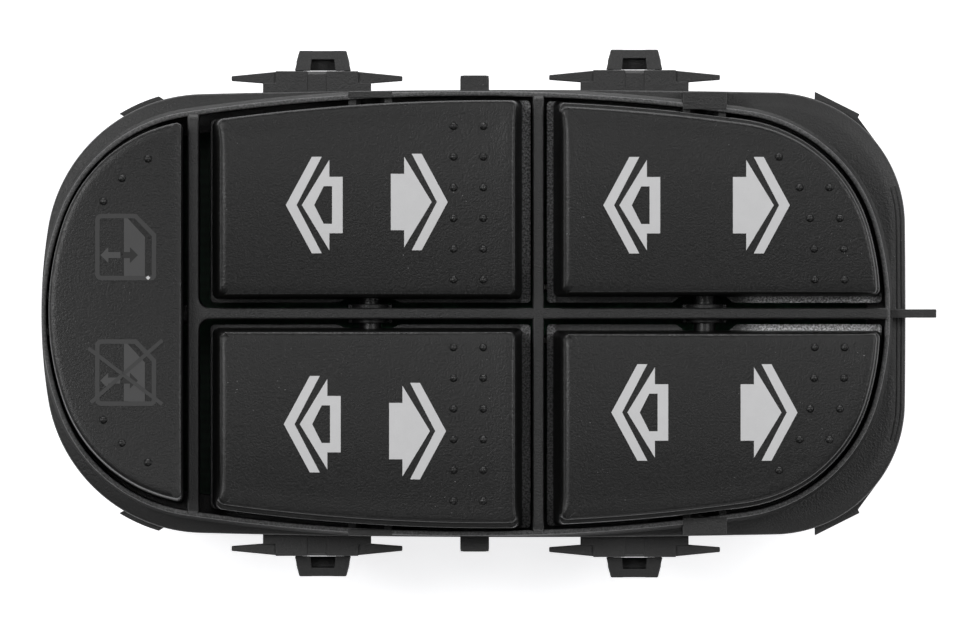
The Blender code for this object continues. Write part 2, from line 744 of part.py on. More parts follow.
def fins():
    """Thin curved ribs outside the flange: two blunt ones on the right, two slim on the left."""
    low = TRAY_RIM_Z - FIN_HEIGHT
    wall = FLANGE.grown(-TRAY_INSET - 0.5 * TRAY_WALL)
    pieces = []
    for turns, reach in (((17.5, 34.4), 1.1), ((146.5, 153.4), 0.45)):
        for side in (1, -1):
            limits = sorted(side * turn for turn in turns)
            pieces.append(edge_strip("fin", wall, FLANGE.grown(reach), limits, low, TRAY_RIM_Z, 8))
    return pieces


def hook(side):
    """A wedge on the tray's long side that holds a snap leg of the frame."""
    wall_y = FLANGE.half_at(HOOK_X) - TRAY_INSET
    tip = FLANGE.half_at(HOOK_X) + LATCH_REACH - 0.3
    low, high = hook_levels()
    outline = [(wall_y - 0.5, low), (tip, low), (tip, low + 0.6), (wall_y, high), (wall_y - 0.5, high)]
    outline = [(side * y, z) for y, z in outline]
    return prism("hook", outline, HOOK_X - HOOK_HALF, HOOK_X + HOOK_HALF, "X")


def terminal_places():
    """Where the terminals stand, column by column, in two rows."""
    first = -(TERMINAL_COLUMNS - 1) / 2 * TERMINAL_PITCH
    return [(first + column * TERMINAL_PITCH, row * TERMINAL_ROW_Y)
            for column in range(TERMINAL_COLUMNS) for row in (-1, 1)]


def terminal_slots(low, high):
    """Cutters for the terminals, one seat gap larger than the blades."""
    half_x = TERMINAL_WIDTH / 2 + SEAT_GAP
    half_y = TERMINAL_THICK / 2 + SEAT_GAP
    return [box("slot", (x - half_x, y - half_y, low), (x + half_x, y + half_y, high))
            for x, y in terminal_places()]


def make_base():
    base = tray_shell()
    shroud = prism("shroud", round_box(SOCKET_HALF_X, SOCKET_HALF_Y, SOCKET_CORNER),
                   0.0, TRAY_BOTTOM_Z + 0.5 * TRAY_FLOOR)
    join(base, shroud)
    hollow = round_box(SOCKET_HALF_X - SOCKET_WALL, SOCKET_HALF_Y - SOCKET_WALL,
                       SOCKET_CORNER - SOCKET_WALL + 0.4)
    cut(base, prism("hollow", hollow, -1.0, TRAY_BOTTOM_Z))
    wall_y = SOCKET_HALF_Y - SOCKET_WALL
    for x in (-0.62 * SOCKET_HALF_X, 0.4 * SOCKET_HALF_X):
        join(base, box("key", (x - 0.6, wall_y - 1.0, 1.0), (x + 0.6, wall_y + 0.5, TRAY_BOTTOM_Z + 0.5)))
    cut(base, box("latch_hole", (-3.0, -SOCKET_HALF_Y - 1, 2.0), (3.0, -wall_y + 0.5, 4.5)))
    for x, shift in zip(CLIP_X, CLIP_TONGUE_SHIFT):
        join(base, clip(x, shift, 1), clip(x, shift, -1))
    join(base, *fins())
    join(base, hook(1), hook(-1))
    cut(base, *terminal_slots(TRAY_BOTTOM_Z - 1, TRAY_FLOOR_Z + 1))
    return finish(base, (0.032, 0.032, 0.033), 0.62)


# Board, terminals and lamps

def make_board():
    outline = FLANGE.grown(-TRAY_INSET - TRAY_WALL - BOARD_GAP)
    turns = spread(outline, (0.0, 0.0), 36)
    rings = [ring(outline, (0.0, 0.0), turns, z) for z in (BOARD_Z, BOARD_TOP_Z)]
    board = loft("circuit_board", rings)
    cut(board, *terminal_slots(BOARD_Z - 1, BOARD_TOP_Z + 1))
    return finish(board, (0.02, 0.11, 0.045), 0.45)


def make_terminals():
    """Blades from the socket up through the tray's floor and the board, with tapered tips."""
    top = BOARD_TOP_Z + TERMINAL_STAND
    for number, (x, y) in enumerate(terminal_places(), 1):
        half = TERMINAL_WIDTH / 2
        outline = [(x - 0.5 * half, TERMINAL_TIP_Z), (x + 0.5 * half, TERMINAL_TIP_Z),
                   (x + half, TERMINAL_TIP_Z + 1.0), (x + half, top), (x - half, top),
                   (x - half, TERMINAL_TIP_Z + 1.0)]
        blade = prism(f"terminal_{number:02d}", outline, y - TERMINAL_THICK / 2,
                      y + TERMINAL_THICK / 2, "Y")
        finish(blade, (0.75, 0.73, 0.70), 0.3, 1.0)


def make_lamp(place, x, y):
    """A small lamp on the board with a chamfered lens."""
    low = BOARD_TOP_Z + SEAT_GAP
    half = LAMP_SIZE / 2
    rings = []
    for inset, z in ((0.0, low), (0.0, low + 0.6 * LAMP_HEIGHT), (0.45, low + LAMP_HEIGHT)):
        flat = [(x + px, y + py, z) for px, py in round_box(half - inset, 0.7 * half - inset, 0.2, 2)]
        rings.append(np.array(flat))
    finish(loft(f"lamp_{place}", rings), (0.85, 0.85, 0.8), 0.25)


# Rockers

def roof_height(centre, half_x, half_y):
    """The height of a rocker's face: dished along the rocker and crowned across it."""
    def height(x, y):
        along = (x - centre[0]) / half_x
        across = (y - centre[1]) / half_y
        return PIVOT_Z + CAP_RISE + CAP_DISH * along ** 2 - CAP_CROWN * across ** 2
    return height


def own_ring(outside, centre, z):
    """A ring of a cap, whose points follow its own corners."""
    return ring(outside, centre, spread(outside, centre, 34), z)


def cap_shell(name, plan, centre, height, step, lean, drop):
    """A hollow cap over plan(insets, corner): skirt, leaning walls, rounded edge and face."""
    step = np.array(step)
    lean = np.array(lean)
    full = step + lean
    low = PIVOT_Z - drop
    ledge = low + SKIRT_THICK
    wall = CAP_WALL

    def level(offset):
        return lambda x, y: height(x, y) - offset

    sections = ((0 * step, CAP_CORNER, low),
                (0 * step, CAP_CORNER, ledge - 0.1),
                (step + 0.1, 0.8 * CAP_CORNER, ledge),
                (full, 0.7 * CAP_CORNER, level(CAP_EDGE)),
                (full + 0.3 * CAP_EDGE, 0.7 * CAP_CORNER, level(0.3 * CAP_EDGE)),
                (full + CAP_EDGE, 0.7 * CAP_CORNER, level(0.0)))
    rings = [own_ring(plan(insets, corner), centre, z) for insets, corner, z in sections]
    face = rings[-1]
    hub = np.array((centre[0], centre[1], 0.0))
    inner = hub + (face - hub) * 0.6
    inner[:, 2] = height(inner[:, 0], inner[:, 1])
    rings.append(inner)
    ceiling = PIVOT_Z + CAP_RISE - CAP_CROWN - CAP_ROOF
    inside = [own_ring(plan(full + wall, 0.5 * CAP_CORNER), centre, ceiling),
              own_ring(plan(step + wall, 0.5 * CAP_CORNER), centre, low)]
    return loft(name, inside + rings)


def window_plan(left, right, side_gap, end_gap, flip):
    """The outline of a window rocker: straight sides, and an outer side that follows the opening."""
    inner = RIB_THICK / 2 + MIDDLE_GAP

    def plan(insets, corner):
        def outside(x, y):
            y = y * flip
            curved = OPENING.outside(x, y, side_gap + insets[3], end_gap + insets[1])
            return meet((left + insets[0] - x, x - right + insets[1], inner + insets[2] - y, curved),
                        corner)
        return outside
    return plan


def lock_plan(insets, corner):
    """The outline of the lock rocker: a straight right side and the opening's left end."""
    right = LOCK_RIB_X - RIB_THICK / 2 - LOCK_GAP

    def outside(x, y):
        curved = OPENING.outside(x, y, LOCK_SIDE_GAP + insets[3], LOCK_END_GAP + insets[3])
        return meet((x - right + insets[1], curved), corner)
    return outside


def stem(x, y):
    """The solid stem under a rocker's face, before its bore is cut."""
    return rod("stem", STEM_RADIUS, STEM_Z, PIVOT_Z + CAP_RISE - CAP_CROWN - 0.5 * CAP_ROOF,
               (x, y), "Z")


def stem_bore(x, y):
    return rod("bore", STEM_BORE, STEM_Z - 1, PIVOT_Z + BORE_TOP, (x, y), "Z")


def dots(places, height):
    """Raised domes for the fingertip, sunk a little into the face."""
    domes = []
    for x, y in places:
        top = float(height(x, y))
        profile = [(0.0, top - 0.35), (1.5 * DOT_RADIUS, top - 0.35),
                   (0.55 * DOT_RADIUS, top + DOT_RISE), (0.0, top + DOT_RISE)]
        domes.append(lathe("dot", profile, (x, y), 6))
    return domes


def left_dots(flip):
    """Two columns of six dots at the right end of a left window rocker."""
    face_right = CROSS_RIB_X - RIB_THICK / 2 - SKIRT_GAP - LEFT_STEP[1] - LEFT_LEAN[1]
    return [(face_right - LEFT_DOT_INSET - column * DOT_COLUMN,
             flip * (DOT_FIRST_ROW + row * DOT_PITCH))
            for column in range(2) for row in range(DOT_ROWS)]


def right_dots(flip):
    """Pairs of dots that follow the right end of the opening, and one more past them."""
    places = []
    for row in range(DOT_ROWS - 1):
        y = DOT_FIRST_ROW + row * DOT_PITCH
        end_x = trace(OPENING.grown(0.0), (0.0, y), np.array([0.0]))[0, 0]
        outer_x = end_x - RIGHT_DOT_INSET + row * RIGHT_DOT_DRIFT
        places += [(outer_x, flip * y), (outer_x - DOT_COLUMN, flip * y)]
    del places[-2]
    return places


def lock_dots():
    """Three dots in each half of the lock rocker, at one distance from the opening's outline."""
    turns = np.radians(LOCK_DOT_TURNS)
    upper = trace(OPENING.grown(-LOCK_DOT_INSET), (LOCK_DOT_CENTRE, 0.0), turns)
    return [(x, flip * y) for x, y in upper for flip in (1, -1)]


def across(flip, near, far):
    """Two distances from the middle line as a low and a high Y, on the side that flip names."""
    return sorted((flip * near, flip * far))


def rocker_notches(x, flip, inner, step):
    """Cutters that clear a rocker's skirt from the frame's two bearings all the way round its swing."""
    wall_y = OPENING.half_at(x)
    half = BEARING_HALF + 0.5
    below = PIVOT_Z - SKIRT_DROP - 1
    outer_low, outer_high = across(flip, wall_y - BEARING_DEPTH - SWING_GAP, wall_y + 1)
    inner_low, inner_high = across(flip, inner - 1, inner + step[2] - 0.02)
    return (box("notch", (x - half, outer_low, below),
                (x + half, outer_high, PIVOT_Z + BEARING_RISE + 0.6)),
            box("notch", (x - half, inner_low, below), (x + half, inner_high, PIVOT_Z + 1)))


def rocker_pins(x, flip, inner, step):
    """The outer pin for the snap-in bearing and the inner pin for the middle rib."""
    wall_y = OPENING.half_at(x)
    low, high = across(flip, wall_y - BEARING_DEPTH - SWING_GAP - 0.5, wall_y - PIN_END_GAP)
    outer = rod("pin", PIN_RADIUS, low, high, (x, PIVOT_Z), "Y")
    low, high = across(flip, SEAT_GAP, inner + step[2] + 0.6)
    return outer, rod("pin", PIN_RADIUS, low, high, (x, PIVOT_Z), "Y")


def make_window_rocker(place, pivot, plan, centre, half_size, step, lean, dot_places, flip):
    """One window rocker with its pins, stem, notches and dots."""
    height = roof_height(centre, half_size[0], half_size[1])
    cap = cap_shell(f"rocker_{place}", plan, centre, height, step, lean, SKIRT_DROP)
    x = pivot.location.x / MM
    inner = RIB_THICK / 2 + MIDDLE_GAP
    cut(cap, *rocker_notches(x, flip, inner, step))
    join(cap, *rocker_pins(x, flip, inner, step), stem(x, flip * UNIT_Y))
    cut(cap, stem_bore(x, flip * UNIT_Y))
    join(cap, *dots(dot_places, height))
    finish(cap, (0.022, 0.022, 0.023), 0.5)
    return hang(cap, pivot)


def make_lock_rocker(pivot):
    """The D-shaped lock rocker. It turns about X, so its face is dished along Y."""
    right = LOCK_RIB_X - RIB_THICK / 2 - LOCK_GAP
    centre = (LOCK_STEM_X + 0.5, 0.0)
    half_y = OPENING.half_at(right) - LOCK_SIDE_GAP

    def height(x, y):
        across = (x - centre[0]) / 8.0
        return PIVOT_Z + CAP_RISE + CAP_DISH * (y / half_y) ** 2 - 0.4 * CAP_CROWN * across ** 2

    flat = (0.0, 0.0, 0.0, 0.0)
    cap = cap_shell("lock_rocker", lock_plan, centre, height, flat, (LOCK_LEAN,) * 4, SKIRT_DROP)
    notch_x = OPENING_LEFT + BEARING_DEPTH + SWING_GAP
    notch_half = BEARING_HALF + 0.5
    ceiling = PIVOT_Z + CAP_RISE - CAP_CROWN - 0.5 * CAP_ROOF
    low = PIVOT_Z - SKIRT_DROP
    ear = box("ear", (notch_x - 0.3, -notch_half - 0.6, low), (notch_x + 1.6, notch_half + 0.6, ceiling))
    join(cap, ear)
    cut(cap, box("notch", (OPENING_LEFT - 1, -notch_half, low - 1),
                 (notch_x, notch_half, PIVOT_Z + BEARING_RISE + 0.6)))
    left_pin = rod("pin", PIN_RADIUS, OPENING_LEFT + 0.15, notch_x + 0.5, (0.0, PIVOT_Z), "X")
    rib_face = LOCK_RIB_X - RIB_THICK / 2
    right_pin = rod("pin", PIN_RADIUS, right - 0.8, rib_face + 0.85 * RIB_THICK - SEAT_GAP,
                    (0.0, PIVOT_Z), "X")
    join(cap, left_pin, right_pin, stem(LOCK_STEM_X, 0.0))
    cut(cap, stem_bore(LOCK_STEM_X, 0.0))
    join(cap, *dots(lock_dots(), height))
    finish(cap, (0.022, 0.022, 0.023), 0.5)
    return hang(cap, pivot)


# Switching parts

def make_plunger(place, x, y, pivot):
    """A turned plunger with a ball tip, a shoulder for the spring and a pilot inside it."""
    low = PLUNGER_Z
    shoulder = low + PLUNGER_LENGTH
    ball = [(PLUNGER_TIP * math.sin(t), low + PLUNGER_TIP * (1 - math.cos(t)))
            for t in (0.0, 0.8)]
    profile = ball + [(PLUNGER_TIP, low + PLUNGER_TIP), (PLUNGER_TIP, low + 1.8),
                      (PLUNGER_RADIUS, low + 2.4), (PLUNGER_RADIUS, shoulder),
                      (PLUNGER_PILOT, shoulder), (PLUNGER_PILOT, shoulder + PILOT_LENGTH),
                      (0.0, shoulder + PILOT_LENGTH)]
    plunger = lathe(f"plunger_{place}", profile, (x, y), 8)
    finish(plunger, (0.62, 0.58, 0.48), 0.4)
    return hang(plunger, pivot)


def make_spring(place, x, y, pivot):
    """A coil spring between the plunger's shoulder and the end of the stem's bore."""
    low = PLUNGER_Z + PLUNGER_LENGTH + SEAT_GAP + SPRING_WIRE
    high = PIVOT_Z + BORE_TOP - SEAT_GAP - SPRING_WIRE
    radius = (STEM_BORE + PLUNGER_PILOT) / 2
    per_turn = 6
    count = SPRING_TURNS * per_turn + 1
    turns = np.arange(count) * 2 * math.pi / per_turn
    rings = []
    for i, turn in enumerate(turns):
        level = low + (high - low) * i / (count - 1)
        section = np.radians(np.arange(4) * 90.0)
        reach = radius + SPRING_WIRE * np.cos(section)
        rings.append(np.column_stack((x + reach * math.cos(turn), y + reach * math.sin(turn),
                                      level + SPRING_WIRE * np.sin(section))))
    spring = loft(f"spring_{place}", rings)
    finish(spring, (0.6, 0.6, 0.62), 0.3, 1.0)
    return hang(spring, pivot)


def seesaw_outline():
    """The side view of a see-saw strip: a flat middle, and ends that step down."""
    ends = ((SEESAW_HALF, -SEESAW_STEP), (SEESAW_BEND + 0.9, -SEESAW_STEP), (SEESAW_BEND, 0.0))
    under = [(-along, up) for along, up in ends] + list(reversed(ends))
    over = [(along, up + SEESAW_THICK) for along, up in reversed(under)]
    return under + over


def make_seesaw(place, x, y, axis):
    """A see-saw contact strip with a domed button under each end."""
    half = SEESAW_WIDTH / 2
    outline = seesaw_outline()
    if axis == "X":
        strip = prism(f"seesaw_{place}", [(x + a, SEESAW_Z + b) for a, b in outline],
                      y - half, y + half, "Y")
    else:
        strip = prism(f"seesaw_{place}", [(y + a, SEESAW_Z + b) for a, b in outline],
                      x - half, x + half, "X")
    under = SEESAW_Z - SEESAW_STEP
    for middle in button_places(x, y, axis):
        profile = [(0.0, under + 0.2), (CONTACT_RADIUS, under + 0.2), (CONTACT_RADIUS, under - 0.1),
                   (0.6 * CONTACT_RADIUS, under - 0.85 * CONTACT_DOME), (0.0, under - CONTACT_DOME)]
        join(strip, lathe("button", profile, middle, 8))
    finish(strip, (0.72, 0.36, 0.2), 0.3, 1.0)
    return recentre(strip, x, y, SEESAW_Z)


def button_places(x, y, axis):
    """The middles of the two contacts at the ends of a see-saw."""
    reach = SEESAW_HALF - CONTACT_RADIUS - 0.1
    if axis == "X":
        return [(x - reach, y), (x + reach, y)]
    return [(x, y - reach), (x, y + reach)]


def make_post(place, x, y, axis):
    """The upright blade that a see-saw rocks on, with a horn on each side to hold it."""
    low = BOARD_TOP_Z + SEAT_GAP
    top = SEESAW_Z - SEAT_GAP
    inner = SEESAW_WIDTH / 2 + SEAT_GAP
    outer = inner + 0.8
    horn = SEESAW_TOP_Z + POST_HORN * 0.5
    outline = [(-outer, low), (outer, low), (outer, horn), (inner, horn), (inner, top),
               (-inner, top), (-inner, horn), (-outer, horn)]
    half = POST_THICK / 2
    if axis == "X":
        post = prism(f"pivot_post_{place}", [(y + a, b) for a, b in outline], x - half, x + half, "X")
    else:
        post = prism(f"pivot_post_{place}", [(x + a, b) for a, b in outline], y - half, y + half, "Y")
    finish(post, (0.78, 0.62, 0.32), 0.35, 1.0)


def make_contacts(place, x, y, axis):
    """The two fixed contacts that the see-saw's buttons reach, turned with a foot and a dome."""
    low = BOARD_TOP_Z + SEAT_GAP
    top = SEESAW_Z - SEESAW_STEP - CONTACT_DOME - CONTACT_OPEN
    for number, middle in enumerate(button_places(x, y, axis), 1):
        profile = [(0.0, low), (CONTACT_RADIUS + 0.5, low), (CONTACT_RADIUS + 0.5, low + 0.6),
                   (CONTACT_RADIUS, low + 0.6), (CONTACT_RADIUS, top - 0.25), (0.0, top)]
        contact = lathe(f"fixed_contact_{place}_{number}", profile, middle, 8)
        finish(contact, (0.8, 0.78, 0.72), 0.3, 1.0)


def pivot_empty(place, x, y, tilt=0.0):
    """The empty that a rocker and its plunger and spring hang from."""
    pivot = bpy.data.objects.new(f"{place}_pivot", None)
    pivot.location = (x * MM, y * MM, PIVOT_Z * MM)
    pivot.rotation_euler = (math.radians(tilt), 0.0, 0.0)
    pivot.empty_display_size = 5 * MM
    bpy.context.scene.collection.objects.link(pivot)
    return pivot


def make_unit(place, pivot, x, y, axis):
    """The plunger, spring, see-saw, post and fixed contacts of one rocker."""
    make_plunger(place, x, y, pivot)
    make_spring(place, x, y, pivot)
    seesaw = make_seesaw(place, x, y, axis)
    make_post(place, x, y, axis)
    make_contacts(place, x, y, axis)
    return seesaw


def make_window_switches():
    """The four window rockers with what works under them."""
    inner = RIB_THICK / 2 + MIDDLE_GAP
    cross_left = CROSS_RIB_X - RIB_THICK / 2 - SKIRT_GAP
    cross_right = CROSS_RIB_X + RIB_THICK / 2 + SKIRT_GAP
    lock_side = LOCK_RIB_X + RIB_THICK / 2 + LEFT_ROCKER_GAP
    half_y = (OPENING_HALF - inner) / 2
    for row, flip in (("upper", 1), ("lower", -1)):
        middle_y = flip * (inner + half_y)
        centre = ((lock_side + cross_left) / 2, middle_y)
        pivot = pivot_empty(f"{row}_left", LEFT_PIVOT_X, flip * UNIT_Y)
        plan = window_plan(lock_side, cross_left, LEFT_SIDE_GAP, RIGHT_END_GAP, flip)
        make_window_rocker(f"{row}_left", pivot, plan, centre, ((cross_left - lock_side) / 2, half_y),
                           LEFT_STEP, LEFT_LEAN, left_dots(flip), flip)
        make_unit(f"{row}_left", pivot, LEFT_PIVOT_X, flip * UNIT_Y, "X")
        make_lamp(f"{row}_left", LEFT_PIVOT_X - LAMP_OFFSET, flip * UNIT_Y)
        centre = ((cross_right + OPENING_RIGHT) / 2 - 2.0, flip * (inner + half_y - 1.0))
        pivot = pivot_empty(f"{row}_right", RIGHT_PIVOT_X, flip * UNIT_Y)
        plan = window_plan(cross_right, OPENING_RIGHT, RIGHT_SIDE_GAP, RIGHT_END_GAP, flip)
        make_window_rocker(f"{row}_right", pivot, plan, centre,
                           ((OPENING_RIGHT - cross_right) / 2, half_y),
                           RIGHT_STEP, RIGHT_LEAN, right_dots(flip), flip)
        make_unit(f"{row}_right", pivot, RIGHT_PIVOT_X, flip * UNIT_Y, "X")
        make_lamp(f"{row}_right", RIGHT_PIVOT_X - LAMP_OFFSET, flip * UNIT_Y)


def make_lock_switch():
    """The lock rocker, tilted onto its detent, and its see-saw tilted the other way."""
    pivot = pivot_empty("lock", LOCK_STEM_X, 0.0, -LOCK_TILT)
    make_lock_rocker(pivot)
    seesaw = make_unit("lock", pivot, LOCK_STEM_X, 0.0, "Y")
    seesaw.rotation_euler = (math.radians(LOCK_TILT * SEESAW_SWING / ROCKER_SWING), 0.0, 0.0)


def build():
    for piece in list(bpy.data.objects):
        bpy.data.objects.remove(piece)
    make_frame()
    make_base()
    make_board()
    make_terminals()
    make_window_switches()
    make_lock_switch()


build()
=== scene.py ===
# %% [markdown]
# # Dressing a power window switch pack
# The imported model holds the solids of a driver's door switch pack: a moulded frame, four
# window rockers, a rear-lock rocker, and the tray that they sit on. This lesson gives each of
# them the rounded edges, grain and signs of the real thing. The solids are loaded first and
# never moved, so that every new piece can be worked out in the same frame, in millimetres.

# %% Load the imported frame
import math

import bmesh
import bpy
import numpy as np
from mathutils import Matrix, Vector


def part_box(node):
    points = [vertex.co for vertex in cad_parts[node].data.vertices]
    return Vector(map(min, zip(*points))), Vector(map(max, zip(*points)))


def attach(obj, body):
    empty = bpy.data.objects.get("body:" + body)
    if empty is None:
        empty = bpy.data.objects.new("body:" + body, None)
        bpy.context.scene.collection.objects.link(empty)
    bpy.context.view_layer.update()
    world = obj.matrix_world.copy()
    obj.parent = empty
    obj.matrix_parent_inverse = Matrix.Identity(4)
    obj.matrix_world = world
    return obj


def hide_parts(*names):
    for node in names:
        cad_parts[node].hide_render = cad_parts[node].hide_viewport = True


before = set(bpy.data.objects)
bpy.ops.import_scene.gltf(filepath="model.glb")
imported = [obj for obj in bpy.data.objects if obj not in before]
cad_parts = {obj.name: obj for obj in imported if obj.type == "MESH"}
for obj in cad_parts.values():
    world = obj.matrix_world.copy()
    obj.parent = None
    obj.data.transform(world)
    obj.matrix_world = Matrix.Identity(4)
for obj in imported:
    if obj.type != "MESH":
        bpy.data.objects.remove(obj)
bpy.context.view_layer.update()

MM = 0.001

# %% [markdown]
# ## Heights and clearances
# The pack is a stack: socket, tray, board, frame, rockers. The levels below are the ones that
# its solids were built on, so each new skin lies where its solid lies.

# %% Levels of the stack
TRAY_BOTTOM_Z = 10.0
TRAY_FLOOR_Z = 12.0
BOARD_LEDGE_Z = 13.7
FRAME_SKIRT_Z = 22.0
STEM_Z = 24.1
TRAY_RIM_Z = 26.2
FLANGE_Z = 26.5
FRAME_LEDGE_Z = 27.2
FLANGE_TOP_Z = 28.2
PIVOT_Z = 31.0
WALL_TOP_Z = 34.2
RIB_TOP_Z = 35.0
SWING_GAP = 0.36
SEAT_GAP = 0.3
frame_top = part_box("bezel_frame")[1].z / MM
print("rib top here", RIB_TOP_Z, "and in the solid", round(frame_top, 2))

# %% [markdown]
# ## Two outlines seen from above
# Every long curve of the pack belongs to one of two ovals: the opening of the frame and the edge
# of its flange. Each is made of large arcs: a side arc and an end arc, joined by a corner arc
# that touches both, so that no kink shows in the moulding's highlight. An outline is kept as a
# function that says how far a point lies past it, and its points are found by walking rays
# outwards until that function changes sign. All rays are walked at once, as one array.

# %% Ovals of touching arcs
RAY_REACH = 110.0
HALVINGS = 40
TRIAL_RAYS = 1501


def tangent_centre(first, second, way):
    """Where two circles cross: along the line of centres, then square to it, to the side of way."""
    gap_x = second[0] - first[0]
    gap_y = second[1] - first[1]
    gap = math.hypot(gap_x, gap_y)
    along = (first[2] ** 2 - second[2] ** 2 + gap ** 2) / (2 * gap)
    off = way * math.sqrt(first[2] ** 2 - along ** 2)
    return (first[0] + (gap_x * along + gap_y * off) / gap,
            first[1] + (gap_y * along - gap_x * off) / gap)


class Oval:
    """An outline of side arcs and end arcs, joined by corner arcs that touch them."""

    def __init__(self, left, right, half, crest, side_radius, end_radii, corners):
        self.crest = crest
        self.side = (crest, half - side_radius, side_radius)
        self.ends = ((left + end_radii[0], 0.0, end_radii[0]),
                     (right - end_radii[1], 0.0, end_radii[1]))
        self.corners = corners

    def outside(self, x, y, side=0.0, end=0.0):
        """Distance past the outline, with its side and end arcs moved inwards by two insets."""
        left_part = self.quarter(x, np.abs(y), 0, side, end)
        right_part = self.quarter(x, np.abs(y), 1, side, end)
        return np.where(x < self.crest, left_part, right_part)

    def quarter(self, x, y, which, side, end):
        """The same for one end: past whichever of the side, corner and end arcs faces the point."""
        way = 2 * which - 1
        side_x, side_y, side_radius = self.side
        end_x, end_y, end_radius = self.ends[which]
        corner = self.corners[which] - (side + end) / 2
        corner_x, corner_y = tangent_centre((side_x, side_y, side_radius - side - corner),
                                            (end_x, end_y, end_radius - end - corner), way)
        past_side = np.hypot(x - side_x, y - side_y) - side_radius + side
        past_end = np.hypot(x - end_x, y - end_y) - end_radius + end
        away_x = x - corner_x
        away_y = y - corner_y
        after_side = way * ((corner_y - side_y) * away_x - (corner_x - side_x) * away_y) > 0
        before_end = way * ((corner_y - end_y) * away_x - (corner_x - end_x) * away_y) < 0
        past_corner = np.hypot(away_x, away_y) - corner
        return np.where(after_side, np.where(before_end, past_corner, past_end), past_side)

    def grown(self, amount):
        """The outline moved outwards by one amount."""
        return lambda x, y: self.outside(x, y, -amount, -amount)

    def half_at(self, x):
        """Half the width of the outline at one x."""
        return float(trace(self.grown(0.0), (x, 0.0), np.array([math.pi / 2]))[0, 1])

    def slope_at(self, x):
        """The angle of the long side at one x."""
        return math.asin((x - self.crest) / self.side[2])


def trace(outside, centre, turns):
    """Points where rays at the given angles leave an outline, found by halving each ray's reach."""
    near = np.zeros_like(turns)
    far = np.full_like(turns, RAY_REACH)
    for _ in range(HALVINGS):
        middle = (near + far) / 2
        beyond = outside(centre[0] + middle * np.cos(turns), centre[1] + middle * np.sin(turns)) > 0
        far = np.where(beyond, middle, far)
        near = np.where(beyond, near, middle)
    return np.column_stack((centre[0] + near * np.cos(turns), centre[1] + near * np.sin(turns)))


def spread(outside, centre, count):
    """Ray angles whose points share out the outline's length and its bends evenly."""
    turns = np.linspace(-0.75 * math.pi, 1.25 * math.pi, TRIAL_RAYS)
    steps = np.diff(trace(outside, centre, turns), axis=0)
    lengths = np.hypot(steps[:, 0], steps[:, 1])
    headings = np.unwrap(np.arctan2(steps[:, 1], steps[:, 0]))
    bends = np.abs(np.diff(headings, append=headings[0] + 2 * math.pi))
    weights = lengths / lengths.sum() + bends / bends.sum()
    stations = np.concatenate(([0.0], np.cumsum(weights))) / weights.sum()
    return np.interp(np.arange(count) / count, stations, turns)


OPENING_LEFT = -54.2
OPENING_RIGHT = 48.6
OPENING_HALF = 26.65
OPENING = Oval(OPENING_LEFT, OPENING_RIGHT, OPENING_HALF, -2.2, 240.0, (34.0, 39.0), (19.0, 19.0))
# The tray's oval, and the flange's moulded edge, whose right corners turn a little tighter
FLANGE, FLANGE_EDGE = (Oval(OPENING_LEFT - lip, OPENING_RIGHT + 2.6, OPENING_HALF + 0.8, 4.0, 1550.0,
                            (68.0, 900.0), (19.5, corner))
                       for lip, corner in ((0.7, 17.2), (0.69, 16.2)))
print("half widths at x = 0:", round(OPENING.half_at(0.0), 2), round(FLANGE.half_at(0.0), 2))

# %% [markdown]
# ## Skins on a grid
# A moulding is drawn as a section carried round an outline. That is a grid: one direction runs
# along the section, the other round the outline. The corners of a real moulding are never sharp,
# and a rounded edge is what catches the light, so each corner of the section is replaced by a
# short curve before the grid is turned into faces.

# %% Grids, rounded sections and prisms
AXIS_ORDER = {"X": (2, 0, 1), "Y": (0, 2, 1), "Z": (0, 1, 2)}


def quads(rows, columns, wrap_rows, wrap_columns):
    """The corner numbers of all quads between neighbours on a grid."""
    index = np.arange(rows * columns).reshape(rows, columns)
    if wrap_rows:
        index = np.vstack((index, index[:1]))
    if wrap_columns:
        index = np.hstack((index, index[:, :1]))
    corners = (index[:-1, :-1], index[:-1, 1:], index[1:, 1:], index[1:, :-1])
    return np.stack(corners, axis=-1).reshape(-1, 4).tolist()


def skin(grid, wrap_rows=False, wrap_columns=True):
    """A grid of points as a skin: its points and its quads."""
    return grid.reshape(-1, 3), quads(grid.shape[0], grid.shape[1], wrap_rows, wrap_columns)


def rounded(rings, cuts, steps=4, closed=True):
    """Rounds each corner V of a section between A, a cut before it, and B, a cut after it.

    The curve is (1 - t)^2 A + 2 t (1 - t) V + t^2 B, with t from 0 to 1, for all rings at once.
    A cut is one number for a ring, or one for each of its points. It never takes more than 0.45
    of the side that it lies on.
    """
    cuts = np.array([np.broadcast_to(cut, rings.shape[1]) for cut in cuts])[:, :, None]
    to_last = np.roll(rings, 1, axis=0) - rings
    to_next = np.roll(rings, -1, axis=0) - rings
    if not closed:
        to_last[0] = 0.0
        to_next[-1] = 0.0
    ends = []
    for way in (to_last, to_next):
        length = np.maximum(np.linalg.norm(way, axis=2, keepdims=True), 1e-9)
        ends.append(rings + way * np.minimum(cuts / length, 0.45))
    t = np.linspace(0.0, 1.0, steps + 1)[None, :, None, None]
    curve = ((1 - t) ** 2 * ends[0][:, None] + 2 * t * (1 - t) * rings[:, None]
             + t ** 2 * ends[1][:, None])
    return curve.reshape(-1, rings.shape[1], 3)


def levelled(flat, height):
    """Flat points with a height, which is one number or one for each point."""
    return np.column_stack((flat, np.broadcast_to(height, len(flat))))


def ring(outside, centre, turns, z):
    """One closed ring on an outline, at a height that is a number or a function of x and y."""
    flat = trace(outside, centre, turns)
    return levelled(flat, z(flat[:, 0], flat[:, 1]) if callable(z) else z)


